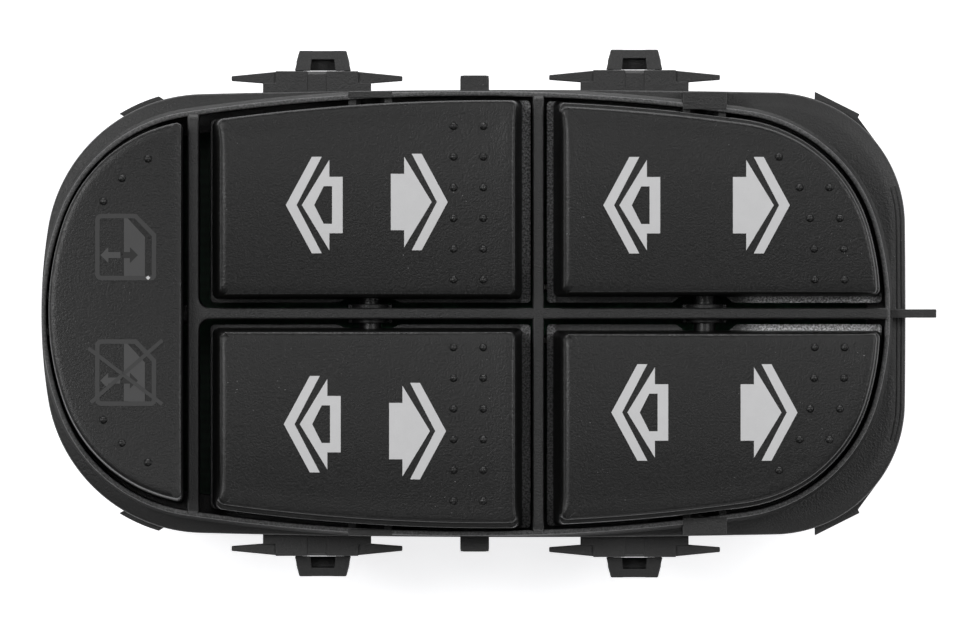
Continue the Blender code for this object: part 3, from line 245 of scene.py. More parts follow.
def arc(centre, radius, start, end, count):
    """Points along an arc, with its angles in degrees."""
    turns = np.radians(np.linspace(start, end, count))
    return [(centre[0] + radius * math.cos(t), centre[1] + radius * math.sin(t)) for t in turns]


def round_box(half_x, half_y, radius, steps=10):
    """The outline of a rectangle with rounded corners."""
    x = half_x - radius
    y = half_y - radius
    points = []
    for centre, start in (((x, y), 0), ((-x, y), 90), ((-x, -y), 180), ((x, -y), 270)):
        points += arc(centre, radius, start, start + 90, steps)
    return np.array(points)


def prism(outline, low, high, axis="Z"):
    """A flat outline carried straight along one axis, as points and faces."""
    flat = np.asarray(outline, float)
    ends = [levelled(flat, level)[:, AXIS_ORDER[axis]] for level in (low, high)]
    count = len(flat)
    sides = [(i, (i + 1) % count, count + (i + 1) % count, count + i) for i in range(count)]
    return np.vstack(ends), sides + [tuple(range(count)), tuple(range(count, 2 * count))]


def block(low, high):
    """A box between two corners, as points and faces."""
    return prism([(low[0], low[1]), (high[0], low[1]), (high[0], high[1]), (low[0], high[1])],
                 low[2], high[2])


def both_sides(parts):
    """The parts and their mirror images across the pack's long middle line."""
    return parts + [(points * np.array((1.0, -1.0, 1.0)), faces) for points, faces in parts]


print("faces of a prism on a rounded box:", len(prism(round_box(2.0, 1.0, 0.5), 0.0, 1.0)[1]))


# %% Turning skins into pieces
BEVEL_ANGLE = 35
SHARP_ANGLE = 38
print("edges over", BEVEL_ANGLE, "degrees are bevelled, and over", SHARP_ANGLE, "degrees stay sharp")


def piece(name, parts, material, body, bevel=0.0, closed=True, segments=3):
    """One object from several skins in millimetres, riding on a body of the frame."""
    points = np.concatenate([part[0] for part in parts])
    faces = []
    start = 0
    for part in parts:
        faces += [tuple(corner + start for corner in face) for face in part[1]]
        start += len(part[0])
    mesh = bpy.data.meshes.new(name)
    mesh.from_pydata((points * MM).tolist(), [], faces)
    work = bmesh.new()
    work.from_mesh(mesh)
    bmesh.ops.remove_doubles(work, verts=work.verts, dist=1e-7)
    bmesh.ops.dissolve_degenerate(work, dist=1e-8, edges=work.edges)
    if closed:
        bmesh.ops.recalc_face_normals(work, faces=work.faces)
    work.to_mesh(mesh)
    work.free()
    mesh.materials.append(material)
    made = bpy.data.objects.new(name, mesh)
    bpy.context.scene.collection.objects.link(made)
    if bevel:
        rounding = made.modifiers.new("rounded edges", "BEVEL")
        rounding.width = bevel * MM
        rounding.segments = segments
        rounding.limit_method = "ANGLE"
        rounding.angle_limit = math.radians(BEVEL_ANGLE)
        rounding.harden_normals = True
    mesh.shade_smooth()
    mesh.set_sharp_from_angle(angle=math.radians(SHARP_ANGLE))
    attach(made, body)
    print(f"{name}: {len(mesh.vertices)} points, {len(mesh.polygons)} faces")
    return made


# %% [markdown]
# ## Writing shaders as sums
# A shader graph for moulded plastic is mostly arithmetic on masks. The small class below wraps a
# socket, so that an expression such as 1 - mask * 0.3 adds its own Math nodes, and one method
# adds any other node from its type, its settings and its inputs.

# %% A socket that can be added and multiplied
class Wire:
    """A socket of a material being made. Maths on it adds Math nodes."""

    def __init__(self, tree, socket):
        self.tree = tree
        self.socket = socket

    def math(self, operation, first, second):
        node = self.tree.nodes.new("ShaderNodeMath")
        node.operation = operation
        for place, value in zip(node.inputs, (first, second)):
            plug(self.tree, place, value)
        return Wire(self.tree, node.outputs[0])

    def __add__(self, other):
        return self.math("ADD", self, other)

    def __radd__(self, other):
        return self.math("ADD", other, self)

    def __sub__(self, other):
        return self.math("SUBTRACT", self, other)

    def __rsub__(self, other):
        return self.math("SUBTRACT", other, self)

    def __mul__(self, other):
        return self.math("MULTIPLY", self, other)

    def __rmul__(self, other):
        return self.math("MULTIPLY", other, self)


def plug(tree, place, value):
    """Links a wire to a socket, or sets the socket to a constant."""
    if isinstance(value, Wire):
        tree.links.new(value.socket, place)
    else:
        place.default_value = value


class Finish:
    """A material in the making, with its Principled shader."""

    def __init__(self, name):
        self.material = bpy.data.materials.new(name)
        self.material.use_nodes = True
        self.tree = self.material.node_tree
        self.shader = self.tree.nodes["Principled BSDF"]
        self.place = self.node("ShaderNodeTexCoord", out="Object")

    def node(self, kind, out=0, settings=None, **inputs):
        """Adds a node: its settings first, then its inputs by name or by _ and a number."""
        node = self.tree.nodes.new(kind)
        for name, value in (settings or {}).items():
            setattr(node, name, value)
        for name, value in inputs.items():
            plug(self.tree, node.inputs[int(name[1:]) if name[0] == "_" else name], value)
        return Wire(self.tree, node.outputs[out])

    def place_parts(self):
        """The X, Y and Z of the object's own coordinates."""
        parts = self.node("ShaderNodeSeparateXYZ", Vector=self.place).socket.node
        return [Wire(self.tree, socket) for socket in parts.outputs]

    def noise(self, size, detail=2.0, roughness=0.5):
        """Noise from 0 to 1 whose features are about size millimetres wide."""
        return self.node("ShaderNodeTexNoise", Vector=self.place, Scale=1.0 / (size * MM),
                         Detail=detail, Roughness=roughness)

    def band(self, value, low, high):
        """0 below low, 1 above high, and a smooth step between them."""
        return self.node("ShaderNodeMapRange", settings={"interpolation_type": "SMOOTHSTEP"},
                         Value=value, _1=low, _2=high)

    def between(self, value, rise, fall):
        """1 between two bands, and 0 before the first and after the second."""
        return self.band(value, *rise) * (1 - self.band(value, *fall))

    def mixed(self, share, first, second):
        """A colour that goes from first to second as share goes from 0 to 1."""
        return self.node("ShaderNodeMix", out=2, settings={"data_type": "RGBA"},
                         _0=share, _6=first, _7=second)

    def feed(self, **sockets):
        """Sets or links sockets of the Principled shader, with _ for a space in their names."""
        for name, value in sockets.items():
            plug(self.tree, self.shader.inputs[name.replace("_", " ")], value)
        return self.material

    def bump(self, height, depth):
        """A normal from a height of 0 to 1 that stands for a depth in millimetres."""
        return self.node("ShaderNodeBump", Height=height, Strength=1.0, Distance=depth * MM)


def grey(level):
    """A neutral colour of one level."""
    return (level, level, level * 1.01, 1.0)


print("mid grey:", grey(0.5))


# %% [markdown]
# ## Moulded black plastic
# The steel mould of such a part is spark-eroded, so its plastic comes out with a fine, even
# grain of about a quarter of a millimetre. Under a lamp the grain breaks the gloss into tiny
# lights. Two noises make the grain and a slow one makes the faint cloudiness of handled plastic.
# Two sparse ones leave a few specks of dust. Masks of place paint pale grey: a painted highlight on
# the wall's top, and dust with a painted highlight on the ledges.

# %% Black plastics
GRAIN_SIZE = 0.25
SWELL_SIZE = 0.5
CLOUD_SIZE = 9.0
DUST_SIZE = 0.22
DUST_PATCH = 6.0
DUST_GREY = 0.42
# Pale grey for the painted highlight on the wall's top and for the dust and painted highlight on ledges
DUST_AND_HIGHLIGHT_GREY = 0.8


def black_plastic(name, tone, gloss, grain, specks=0.0, dust_and_highlight=None):
    """Near-black plastic: tone, roughness, grain depth in mm, dust specks, and a mask of painted
    highlight and dust.
    """
    made = Finish(name)
    fine = made.noise(GRAIN_SIZE, detail=2.0, roughness=0.6)
    cloud = made.noise(CLOUD_SIZE, detail=3.0)
    relief = fine * 0.75 + made.noise(SWELL_SIZE, detail=2.0) * 0.25
    level = (0.72 + cloud * 0.56) * (0.5 + fine)
    colour = made.mixed(level * 0.5, grey(0.0), grey(tone * 2.0))
    if specks:
        dust = made.band(made.noise(DUST_SIZE, detail=1.0), 0.76, 0.80)
        patch = made.band(made.noise(DUST_PATCH, detail=2.0), 0.56, 0.66)
        colour = made.mixed(dust * patch * specks, colour, grey(DUST_GREY))
    # Pale grey painted where the mask says: a painted highlight, with some dust on the rockers' ledges
    if dust_and_highlight:
        colour = made.mixed(dust_and_highlight(made, fine), colour, grey(DUST_AND_HIGHLIGHT_GREY))
    return made.feed(Base_Color=colour, Roughness=gloss + (fine - 0.5) * 0.3,
                     Normal=made.bump(relief, grain), Specular_IOR_Level=0.5)


def ledge_dust_and_painted_highlight(made, fine):
    """Where the ledge round a rocker's skirt is painted pale grey, from 0 to 1: dust and a painted
    highlight.

    The ledge is the level surface at the height of the pins. The grey is greyest beside the second
    cross rib, most of all at that rib's upper end, and beside the right half of the middle rib.
    Places are in metres here, as Object coordinates are.
    """
    x, y, z = made.place_parts()
    level = made.between(z, (0.0307, 0.0309), (0.0312, 0.0314))
    # Painted highlight beside the second cross rib, stronger towards its upper end, and beside the
    # right half of the middle rib. A faint, grainy grey on all of the ledge stands for dust.
    by_rib = made.between(x, (0.0038, 0.0042), (0.0080, 0.0084))
    upper = 0.35 + made.band(y, -0.01, 0.026) * 0.65
    off_middle = y.math("ABSOLUTE", y, 0.0)
    by_middle = made.band(x, 0.030, 0.034) * (1 - made.band(off_middle, 0.0024, 0.0028))
    rough = 0.2 + made.band(fine, 0.35, 0.7) * 0.8
    return level * (by_rib * upper + by_middle + 0.05) * rough


def painted_crown_highlight(made, fine):
    """A painted highlight along the top of the frame's wall, faint and grainy, from 0 to 1."""
    level = made.between(made.place_parts()[2], (0.0336, 0.0340), (0.03421, 0.03426))
    return level * (0.02 + made.band(fine, 0.3, 0.8) * 0.1)


# The frame's wall top gets a painted highlight, and the rockers' ledges get dust and a painted
# highlight
frame_plastic = black_plastic("frame plastic", 0.014, 0.46, 0.07, specks=0.5, dust_and_highlight=painted_crown_highlight)
base_plastic = black_plastic("tray plastic", 0.02, 0.52, 0.08)
rocker_plastic = black_plastic("rocker plastic", 0.002, 0.39, 0.045, specks=0.8, dust_and_highlight=ledge_dust_and_painted_highlight)
print("materials:", [m.name for m in (frame_plastic, base_plastic, rocker_plastic)])

# %% [markdown]
# ## The frame's flange and wall
# The frame is one moulding. Its section is a flat flange that rests under the door trim, a low
# wall round the opening, and a skirt that reaches down inside the tray. The section is carried
# round both ovals on one set of rays, so every station lies in one upright plane, and each of
# its corners is rounded by its own cut.

# %% Flange, wall and skirt
WALL_THICK = 0.6
WALL_FOOT = 0.45
SKIRT_INSET = 2.2
FRAME_SKIRT = 0.9
RING_STATIONS = 600
EDGE_SLOPE = 0.2
SHOULDER_INSET = 1.7


def inner_of(first, second):
    """The outline that lies inside both outlines."""
    return lambda x, y: np.maximum(first(x, y), second(x, y))


def outer_of(first, second):
    """The outline round both outlines."""
    return lambda x, y: np.minimum(first(x, y), second(x, y))


def frame_ring():
    """The section of flange, wall and skirt carried round the opening: rows along the section.

    Outside the wall's foot the flange is level, and its outer part slopes down to its edge.
    """
    foot = inner_of(OPENING.grown(WALL_THICK + WALL_FOOT), FLANGE.grown(-0.1))
    wall = inner_of(OPENING.grown(WALL_THICK), FLANGE.grown(-0.15))
    shoulder = outer_of(foot, FLANGE_EDGE.grown(-SHOULDER_INSET))

    def edge_z(x, y):
        flat = OPENING.grown(WALL_THICK + WALL_FOOT)(x, y)
        return FLANGE_TOP_Z - EDGE_SLOPE * np.clip(flat, 0.0, SHOULDER_INSET)

    skirt_out = OPENING.grown(FRAME_SKIRT - SKIRT_INSET)
    skirt_in = OPENING.grown(-SKIRT_INSET)
    section = ((FLANGE_EDGE.grown(0.0), FLANGE_Z, 0.15),
               (FLANGE_EDGE.grown(0.0), edge_z, 0.36),
               (shoulder, FLANGE_TOP_Z, 0.5),
               (foot, FLANGE_TOP_Z, 0.12),
               (wall, FLANGE_TOP_Z + WALL_FOOT, 0.3),
               (wall, WALL_TOP_Z, 0.28),
               (OPENING.grown(0.0), WALL_TOP_Z, 0.2),
               (OPENING.grown(0.0), FRAME_LEDGE_Z, 0.1),
               (skirt_in, FRAME_LEDGE_Z, 0.15),
               (skirt_in, FRAME_SKIRT_Z, 0.12),
               (skirt_out, FRAME_SKIRT_Z, 0.12),
               (skirt_out, FLANGE_Z, 0.1))
    turns = spread(OPENING.grown(0.0), (0.0, 0.0), RING_STATIONS)
    rings = np.array([ring(outline, (0.0, 0.0), turns, z) for outline, z, _ in section])
    return skin(rounded(rings, [cut for _, _, cut in section]), wrap_rows=True)


bezel_ring = piece("bezel_ring", [frame_ring()], frame_plastic, "pack")
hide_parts("bezel_frame")

# %% [markdown]
# ## Ribs between the rockers
# Two cross ribs and a long middle rib divide the opening. They are plates stood on edge with
# well rounded tops, and where the first cross rib meets the middle rib, the mould has curved
# webs in both corners. Each is an outline carried straight, with a bevel for its rounding.

# %% Cross ribs, middle rib and corner webs
RIB_THICK = 1.4
LOCK_RIB_X = -36.05
LOCK_RIB_FACE_X = LOCK_RIB_X - 0.12
CROSS_RIB_X = 6.1
RIB_END_ROUND = 1.1
RIB_ROUND = 0.26
WEB_RADIUS = 1.3
WEB_STATIONS = 25
# Skins that cross need tops at slightly different heights, or their shared plane renders black
WEB_TOP_Z = RIB_TOP_Z + 0.006
MIDDLE_RIB_TOP_Z = RIB_TOP_Z - 0.01


def cross_rib(x):
    """A rib across the opening, stepped at the frame's ledge and rounded at its upper ends."""
    wide = OPENING.half_at(x) + 0.5 * WALL_THICK
    narrow = OPENING.half_at(x) - SKIRT_INSET + 0.5 * FRAME_SKIRT
    step = FRAME_LEDGE_Z - 0.5
    low = FRAME_SKIRT_Z + 0.5
    outline = [(-narrow, low), (narrow, low), (narrow, step), (wide, step)]
    corner = (wide - RIB_END_ROUND, RIB_TOP_Z - RIB_END_ROUND)
    outline += arc(corner, RIB_END_ROUND, 0, 90, 8)
    outline += arc((-corner[0], corner[1]), RIB_END_ROUND, 90, 180, 8)
    outline += [(-wide, step), (-narrow, step)]
    return prism(outline, x - RIB_THICK / 2, x + RIB_THICK / 2, "X")


def middle_rib():
    """The long rib from the lock rocker to the right end of the opening."""
    end = OPENING_RIGHT + 0.6 * WALL_THICK
    inner_end = OPENING_RIGHT - SKIRT_INSET + 0.5 * FRAME_SKIRT
    step = FRAME_LEDGE_Z - 0.5
    low = FRAME_SKIRT_Z + 1.0
    outline = [(LOCK_RIB_X, low), (inner_end, low), (inner_end, step), (end, step),
               (end, MIDDLE_RIB_TOP_Z), (LOCK_RIB_X, MIDDLE_RIB_TOP_Z)]
    return prism(outline, -RIB_THICK / 2, RIB_THICK / 2, "Y")


def corner_web(centre_x):
    """The concave web in the upper right corner between a cross rib and the middle rib.

    Its path runs down the cross rib's side, round a quarter circle and along the middle rib. The
    section goes up the path, over the same rounding as the ribs have, and flat to their middle.
    """
    x = centre_x + RIB_THICK / 2
    y = RIB_THICK / 2
    turns = np.radians(np.linspace(180, 270, WEB_STATIONS))
    path = np.column_stack((x + WEB_RADIUS + WEB_RADIUS * np.cos(turns),
                            y + WEB_RADIUS + WEB_RADIUS * np.sin(turns)))
    inward = np.column_stack((np.cos(turns), np.sin(turns)))
    spine = np.where((turns < math.radians(225))[:, None],
                     np.column_stack((np.full(WEB_STATIONS, centre_x), path[:, 1])),
                     np.column_stack((path[:, 0], np.zeros(WEB_STATIONS))))
    rows = [levelled(path, FRAME_SKIRT_Z + 1.5)]
    for turn in np.linspace(0.0, math.pi / 2, 6):
        reach = path + inward * RIB_ROUND * (1 - math.cos(turn))
        rows.append(levelled(reach, WEB_TOP_Z - RIB_ROUND * (1 - math.sin(turn))))
    rows.append(levelled(spine, WEB_TOP_Z))
    return skin(np.array(rows), wrap_columns=False)


ribs = [cross_rib(LOCK_RIB_FACE_X), cross_rib(CROSS_RIB_X), middle_rib()]
piece("bezel_ribs", ribs, frame_plastic, "pack", bevel=RIB_ROUND, segments=5)
piece("bezel_webs", both_sides([corner_web(LOCK_RIB_FACE_X)]), frame_plastic, "pack")

# %% [markdown]
# ## Bearings for the rockers' pins
# Each window rocker swings on two pins. The outer one snaps down into an open bearing on the
# wall, and the inner one goes into a thicker part of the middle rib. Seen from above, the slot
# of an open bearing shows as a black notch. The holes that the solids have for the inner pins are
# hidden, and left out here.

# %% Bearings and their covers
PIN_RADIUS = 1.35
PIVOT_X = {"left": -14.5, "right": 26.5}
BEARING_HALF = 2.7
BEARING_RISE = 2.2
BEARING_DEPTH = 0.95
BOSS_HALF = 1.15


def bearing_outline(middle):
    """A block with a slot that opens at its top and widens into a round seat for the pin."""
    bore = PIN_RADIUS + 0.25
    lip_angle = math.degrees(math.acos(PIN_RADIUS * 0.85 / bore))
    top = PIVOT_Z + BEARING_RISE
    low = FRAME_LEDGE_Z - 0.4
    outline = [(middle - BEARING_HALF, low), (middle + BEARING_HALF, low),
               (middle + BEARING_HALF, top), (middle + bore + 0.15, top)]
    outline += arc((middle, PIVOT_Z), bore, lip_angle, -180 - lip_angle, 28)
    return outline + [(middle - bore - 0.15, top), (middle - BEARING_HALF, top)]


def outer_bearing(x):
    """The bearing on the upper long wall, turned to the wall's slope about its foot."""
    wall_y = OPENING.half_at(x)
    points, faces = prism(bearing_outline(x), wall_y - BEARING_DEPTH, wall_y + 0.24, "Y")
    turn = -OPENING.slope_at(x)
    flat = points[:, :2] - (x, wall_y)
    points[:, 0] = x + flat[:, 0] * math.cos(turn) - flat[:, 1] * math.sin(turn)
    points[:, 1] = wall_y + flat[:, 0] * math.sin(turn) + flat[:, 1] * math.cos(turn)
    return points, faces


def bearing_cover(x):
    """The flat top of a bearing, which runs over the wall and out to the flange's edge."""
    wall_y = OPENING.half_at(x)
    return block((x - BEARING_HALF, wall_y + 0.06, FLANGE_TOP_Z - 0.3),
                 (x + BEARING_HALF, FLANGE.half_at(x) - 0.12, WALL_TOP_Z + 0.08))


def rib_boss(x):
    """The thicker part of the middle rib round a rocker's inner pins, with a round top."""
    low = FRAME_SKIRT_Z + 1.5
    outline = [(x - BEARING_HALF, low), (x + BEARING_HALF, low), (x + BEARING_HALF, PIVOT_Z)]
    outline += arc((x, PIVOT_Z), BEARING_RISE, 0, 180, 24)
    outline.append((x - BEARING_HALF, PIVOT_Z))
    return prism(outline, -BOSS_HALF, BOSS_HALF, "Y")


bearings = both_sides([make(x) for x in PIVOT_X.values() for make in (outer_bearing, bearing_cover)])
bearings.append(prism(bearing_outline(0.0), OPENING_LEFT - 0.24, OPENING_LEFT + BEARING_DEPTH, "X"))
bearings += [rib_boss(x) for x in PIVOT_X.values()]
piece("bezel_bearings", bearings, frame_plastic, "pack", bevel=0.1, segments=2)

# %% [markdown]
# ## Snap legs, tab and ridges
# The frame closes on the tray with a snap leg on each long side: a loop that springs over a hook.
# A thin tab at the right end finds the pack's place in the trim, and two low ridges run along the
# flange there. The ridges are strips between two outlines.

# %% Snap legs, tab and ridges
LATCH_X = -1.7
TAB_END = 54.9
TAB_HALF = 0.52
RIDGE_TURNS = (-17.5, 17.5)
RIDGES = ((0.62, 0.3, -0.14), (1.15, 0.28, -0.02))
STRIP_STATIONS = 40


def snap_leg():
    """The leg on the upper long side that snaps over the tray's hook: a loop hung from a lug."""
    wall_y = FLANGE.half_at(LATCH_X)
    reach = wall_y + 1.8
    top = FLANGE_Z + 1.1
    low = FLANGE_Z - 9.0
    middle = (top + low) / 2
    outer = round_box(1.75, (top - low) / 2, 0.4) + (LATCH_X, middle)
    inner = round_box(1.25, 1.4, 0.25) + (LATCH_X, low + 2.7)
    rows = [levelled(flat, y)[:, AXIS_ORDER["Y"]]
            for flat, y in ((outer, reach - 1.1), (outer, reach - 0.02), (inner, reach - 0.02),
                            (inner, reach - 1.1))]
    loop = skin(rounded(np.array(rows), [0.12, 0.45, 0.12, 0.12]), wrap_rows=True)
    lug = round_box(1.77, 1.4, 0.45) + (LATCH_X, reach - 1.4)
    return [loop, prism(lug, FLANGE_Z + 0.3, top + 0.02)]


def edge_strip(inner, outer, turns, low, high, inner_trim=0.0):
    """A curved strip between two outlines over a range of angles seen from the origin.

    The trim moves the last angle of the inner edge, so that the strip's far end needn't point at
    the origin.
    """
    edges = [trace(outline, (0.0, 0.0), np.radians(np.linspace(turns[0], last, STRIP_STATIONS)))
             for outline, last in ((inner, turns[1] + inner_trim), (outer, turns[1]))]
    return prism(np.vstack((edges[0], edges[1][::-1])), low, high)


strips = [edge_strip(FLANGE_EDGE.grown(-inset), FLANGE_EDGE.grown(width - inset), RIDGE_TURNS,
                     FLANGE_TOP_Z - 0.9, FLANGE_TOP_Z + rise)
          for inset, width, rise in RIDGES]
tab = block((OPENING_RIGHT + 0.3, -TAB_HALF, FLANGE_TOP_Z - 0.9),
            (TAB_END, TAB_HALF, FLANGE_TOP_Z + 3.8))
piece("bezel_tab_and_strips", strips + [tab], frame_plastic, "pack", bevel=0.09, segments=2)
piece("bezel_snap_legs", both_sides(snap_leg()), frame_plastic, "pack", bevel=0.15)

# %% [markdown]
# ## The tray
# The tray closes the pack from below. Only its clips, fins and hooks reach past the flange, but
# its wall and socket are what one sees from the side. The wall is a section carried round the
# flange's oval, and the bottom is closed by rings that shrink to one point.

# %% Tray wall and floor
TRAY_INSET = 0.3
TRAY_WALL = 1.3
LEDGE_WIDTH = 2.4
TRAY_STATIONS = 360


def shrinking(ring_points, shares, z):
    """Rings that shrink towards the origin by the given shares, at one height."""
    grid = ring_points[None] * np.asarray(shares)[:, None, None]
    grid[:, :, 2] = z
    return grid


def tray_shell():
    """The tray's section from the middle of its underside, up its wall and in to its floor."""
    inside = TRAY_INSET + TRAY_WALL
    section = ((TRAY_INSET + 1.0, TRAY_BOTTOM_Z, 0.4), (TRAY_INSET, TRAY_BOTTOM_Z + 1.0, 0.4),
               (TRAY_INSET, TRAY_RIM_Z, 0.2), (inside, TRAY_RIM_Z, 0.2),
               (inside, BOARD_LEDGE_Z, 0.1), (inside + LEDGE_WIDTH, BOARD_LEDGE_Z, 0.15),
               (inside + LEDGE_WIDTH, TRAY_FLOOR_Z, 0.2))
    turns = spread(FLANGE.grown(0.0), (0.0, 0.0), TRAY_STATIONS)
    rings = np.array([ring(FLANGE.grown(-inset), (0.0, 0.0), turns, z) for inset, z, _ in section])
    under = shrinking(rings[0], (0.0, 0.5, 0.9), TRAY_BOTTOM_Z)
    floor = shrinking(rings[-1], (0.9, 0.5, 0.0), TRAY_FLOOR_Z)
    cuts = [0.0] * 3 + [cut for _, _, cut in section] + [0.0] * 3
    return skin(rounded(np.concatenate((under, rings, floor)), cuts, closed=False))


tray = piece("tray_shell", [tray_shell()], base_plastic, "pack")
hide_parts("switch_base")

# %% [markdown]
# ## The connector socket
# Under the tray a deep rectangular shroud takes the wiring plug. Two key ribs inside it keep the
# plug from going in the wrong way round, and a hole in its other wall takes the plug's catch.

# %% Socket shroud, keys and catch
SOCKET_HALF = (22.5, 9.4)
SOCKET_WALL = 1.6
SOCKET_CORNER = 2.0


def shroud():
    """The shroud's wall: its outer and inner rounded rectangles joined at rim and root."""
    inner = (SOCKET_HALF[0] - SOCKET_WALL, SOCKET_HALF[1] - SOCKET_WALL, 0.8)
    section = ((round_box(*SOCKET_HALF, SOCKET_CORNER), TRAY_BOTTOM_Z + 0.5, 0.0),
               (round_box(*SOCKET_HALF, SOCKET_CORNER), 0.0, 0.35),
               (round_box(*inner), 0.0, 0.35),
               (round_box(*inner), TRAY_BOTTOM_Z + 0.5, 0.0))
    rings = np.array([levelled(flat, z) for flat, z, _ in section])
    return skin(rounded(rings, [cut for _, _, cut in section]), wrap_rows=True)


wall_y = SOCKET_HALF[1] - SOCKET_WALL
keys = [block((x - 0.6, wall_y - 1.0, 1.0), (x + 0.6, wall_y + 0.5, TRAY_BOTTOM_Z + 0.5))
        for x in (-0.62 * SOCKET_HALF[0], 0.4 * SOCKET_HALF[0])]
socket = piece("socket_shroud", [shroud()], base_plastic, "pack")
piece("socket_keys", keys, base_plastic, "pack", bevel=0.15, segments=2)
catch = bpy.data.objects.new("catch cutter", bpy.data.meshes.new("catch cutter"))
catch_points, catch_faces = block((-3.0, -SOCKET_HALF[1] - 1, 2.0), (3.0, -wall_y + 0.5, 4.5))
catch.data.from_pydata((catch_points * MM).tolist(), [], catch_faces)
bpy.context.scene.collection.objects.link(catch)
hole = socket.modifiers.new("catch hole", "BOOLEAN")
hole.solver = "EXACT"
hole.object = catch
cut_mesh = bpy.data.meshes.new_from_object(socket.evaluated_get(bpy.context.evaluated_depsgraph_get()))
socket.modifiers.clear()
socket.data = cut_mesh
bpy.data.objects.remove(catch)
print("socket with its catch hole:", len(socket.data.polygons), "faces")

# %% [markdown]
# ## Spring clips
# Four clips hold the pack in the door's trim. Each is a block with two thin wings, and a barbed
# tongue on two legs that stands off in front of it, with a slit of daylight between them. Thin
# glass-filled plastic keeps crisp edges, so the bevels here are small.

# %% Clips, fins and hooks
CLIPS = ((-21.07, 0.7), (17.95, 0.0))
CLIP_TOP_Z = TRAY_RIM_Z - 0.6
CLIP_LOW_Z = CLIP_TOP_Z - 6.0
CLIP_FRONT = 2.84
TONGUE_TAPER = 2.9 / 3.55


def clip_block(x, wall_y):
    """The stepped block of a clip with a groove down its front, and a panel that fills the groove."""
    front = wall_y + CLIP_FRONT
    half = [(0.0, wall_y + 0.3), (1.15, wall_y + 0.3), (1.15, front), (5.1, front), (5.1, wall_y + 1.4),
            (6.64, wall_y + 1.4), (6.64, wall_y - 0.65)]
    outline = [(x + px, py) for px, py in half] + [(x - px, py) for px, py in half[:0:-1]]
    panel = [(wall_y, CLIP_LOW_Z + 0.02), (front - 0.02, CLIP_LOW_Z + 0.02),
             (front - 0.02, CLIP_TOP_Z - 0.55), (front - 0.4, CLIP_TOP_Z - 0.13),
             (wall_y, CLIP_TOP_Z - 0.13)]
    return [prism(outline, CLIP_LOW_Z, CLIP_TOP_Z), prism(np.array(panel), x - 1.3, x + 1.3, "X")]


def clip_wings(x, wall_y):
    """Two wings that taper from the block to their tips, thin at the ends."""
    middle = wall_y + CLIP_FRONT - 0.9
    half = [(4.6, -0.78), (10.5, -0.32), (10.5, 0.28), (4.6, 0.86)]
    return [prism([(x + way * px, middle + py) for px, py in half], CLIP_TOP_Z - 2.6, CLIP_TOP_Z - 0.4)
            for way in (1, -1)]


def tongue(x, wall_y):
    """The barbed tongue: two leaning legs, a cheek on each, and a web sunk between the cheeks."""
    tip = wall_y + 5.39
    front = wall_y + CLIP_FRONT - 0.1
    foot = CLIP_LOW_Z - 5.58
    top = CLIP_LOW_Z + 2.7
    side_view = [(wall_y - 0.5, foot), (wall_y + 0.6, foot), (tip - 0.02, top - 1.62),
                 (tip - 0.02, top - 0.9), (tip - 1.2, top - 0.9), (tip - 1.43, top - 1.6),
                 (wall_y + 0.3, foot + 1.43), (wall_y - 0.5, foot + 1.43)]
    root = front + 0.17
    head = [(root, top - 3.0), (tip, top - 1.6), (tip, top - 0.75), (root, top)]
    parts = []
    for side in (-1, 1):
        parts.append(prism(side_view, *sorted((side * 2.75, side * 3.55)), "X"))
        parts.append(prism(head, *sorted((side * 1.55, side * 3.5)), "X"))
    sunk = [(root + 0.02, top - 2.9), (tip - 0.02, top - 1.62), (tip - 0.02, top - 0.77),
            (tip - 1.1, top - 0.44), (tip - 1.14, top - 1.9), (root + 0.02, top - 2.3)]
    parts.append(prism(sunk, -1.75, 1.75, "X"))
    for points, _ in parts:
        share = np.clip((points[:, 1] - front) / (tip - front), 0.0, 1.0)
        points[:, 0] = x + points[:, 0] * (1.0 - share * (1.0 - TONGUE_TAPER))
    return parts


def corner_fins():
    """Thin ribs outside the flange: a blunt one at the upper right, a slim one at the upper left."""
    wall = FLANGE.grown(-TRAY_INSET - 0.65)
    low = TRAY_RIM_Z - 2.4

    def blunt(x, y):
        straight = 0.449 * x + 0.894 * y - 42.37
        tapering = 0.805 * x + 0.593 * y - 50.82
        return np.where(y > 0.532 * x, straight, tapering)

    return [edge_strip(wall, blunt, (22.6, 34.2), low, TRAY_RIM_Z, inner_trim=-2.2),
            edge_strip(wall, FLANGE.grown(0.55), (146.6, 151.6), low, TRAY_RIM_Z)]


def hook():
    """The wedge on the tray's side that the frame's snap leg closes over."""
    wall_y = FLANGE.half_at(LATCH_X) - TRAY_INSET
    tip = FLANGE.half_at(LATCH_X) + 1.5
    low = FLANGE_Z - 7.4
    outline = [(wall_y - 0.5, low), (tip, low), (tip, low + 0.6), (wall_y, low + 2.2),
               (wall_y - 0.5, low + 2.2)]
    return prism(outline, LATCH_X - 0.95, LATCH_X + 0.95, "X")


clips = []
for clip_x, shift in CLIPS:
    side_y = FLANGE.half_at(clip_x) - TRAY_INSET
    clips += clip_block(clip_x, side_y) + clip_wings(clip_x, side_y) + tongue(clip_x + shift, side_y)
piece("tray_clips", both_sides(clips), base_plastic, "pack", bevel=0.11, segments=2)
rims = both_sides(corner_fins() + [hook()])
piece("tray_fins_and_hooks", rims, base_plastic, "pack", bevel=0.12, segments=2)

# %% [markdown]
# ## The rockers
# A rocker is a hollow cap: a skirt with a ledge, walls that lean in, a soft rounded edge, and a
# face that is dished along the rocker and crowned across it. The grid starts at the middle of
# its ceiling, runs down inside, round the skirt and up the wall, and ends at the middle of the
# face. Just below the face a narrow shelf follows the frame's wall, and beside it the face has a
# faint rim: these draw the double line round a rocker's outer edge. The walls lean in towards the
# face, which leaves room for the swing. The stem is a plain rod here: the bore that its solid has
# for a spring and a plunger is hidden, and left out.

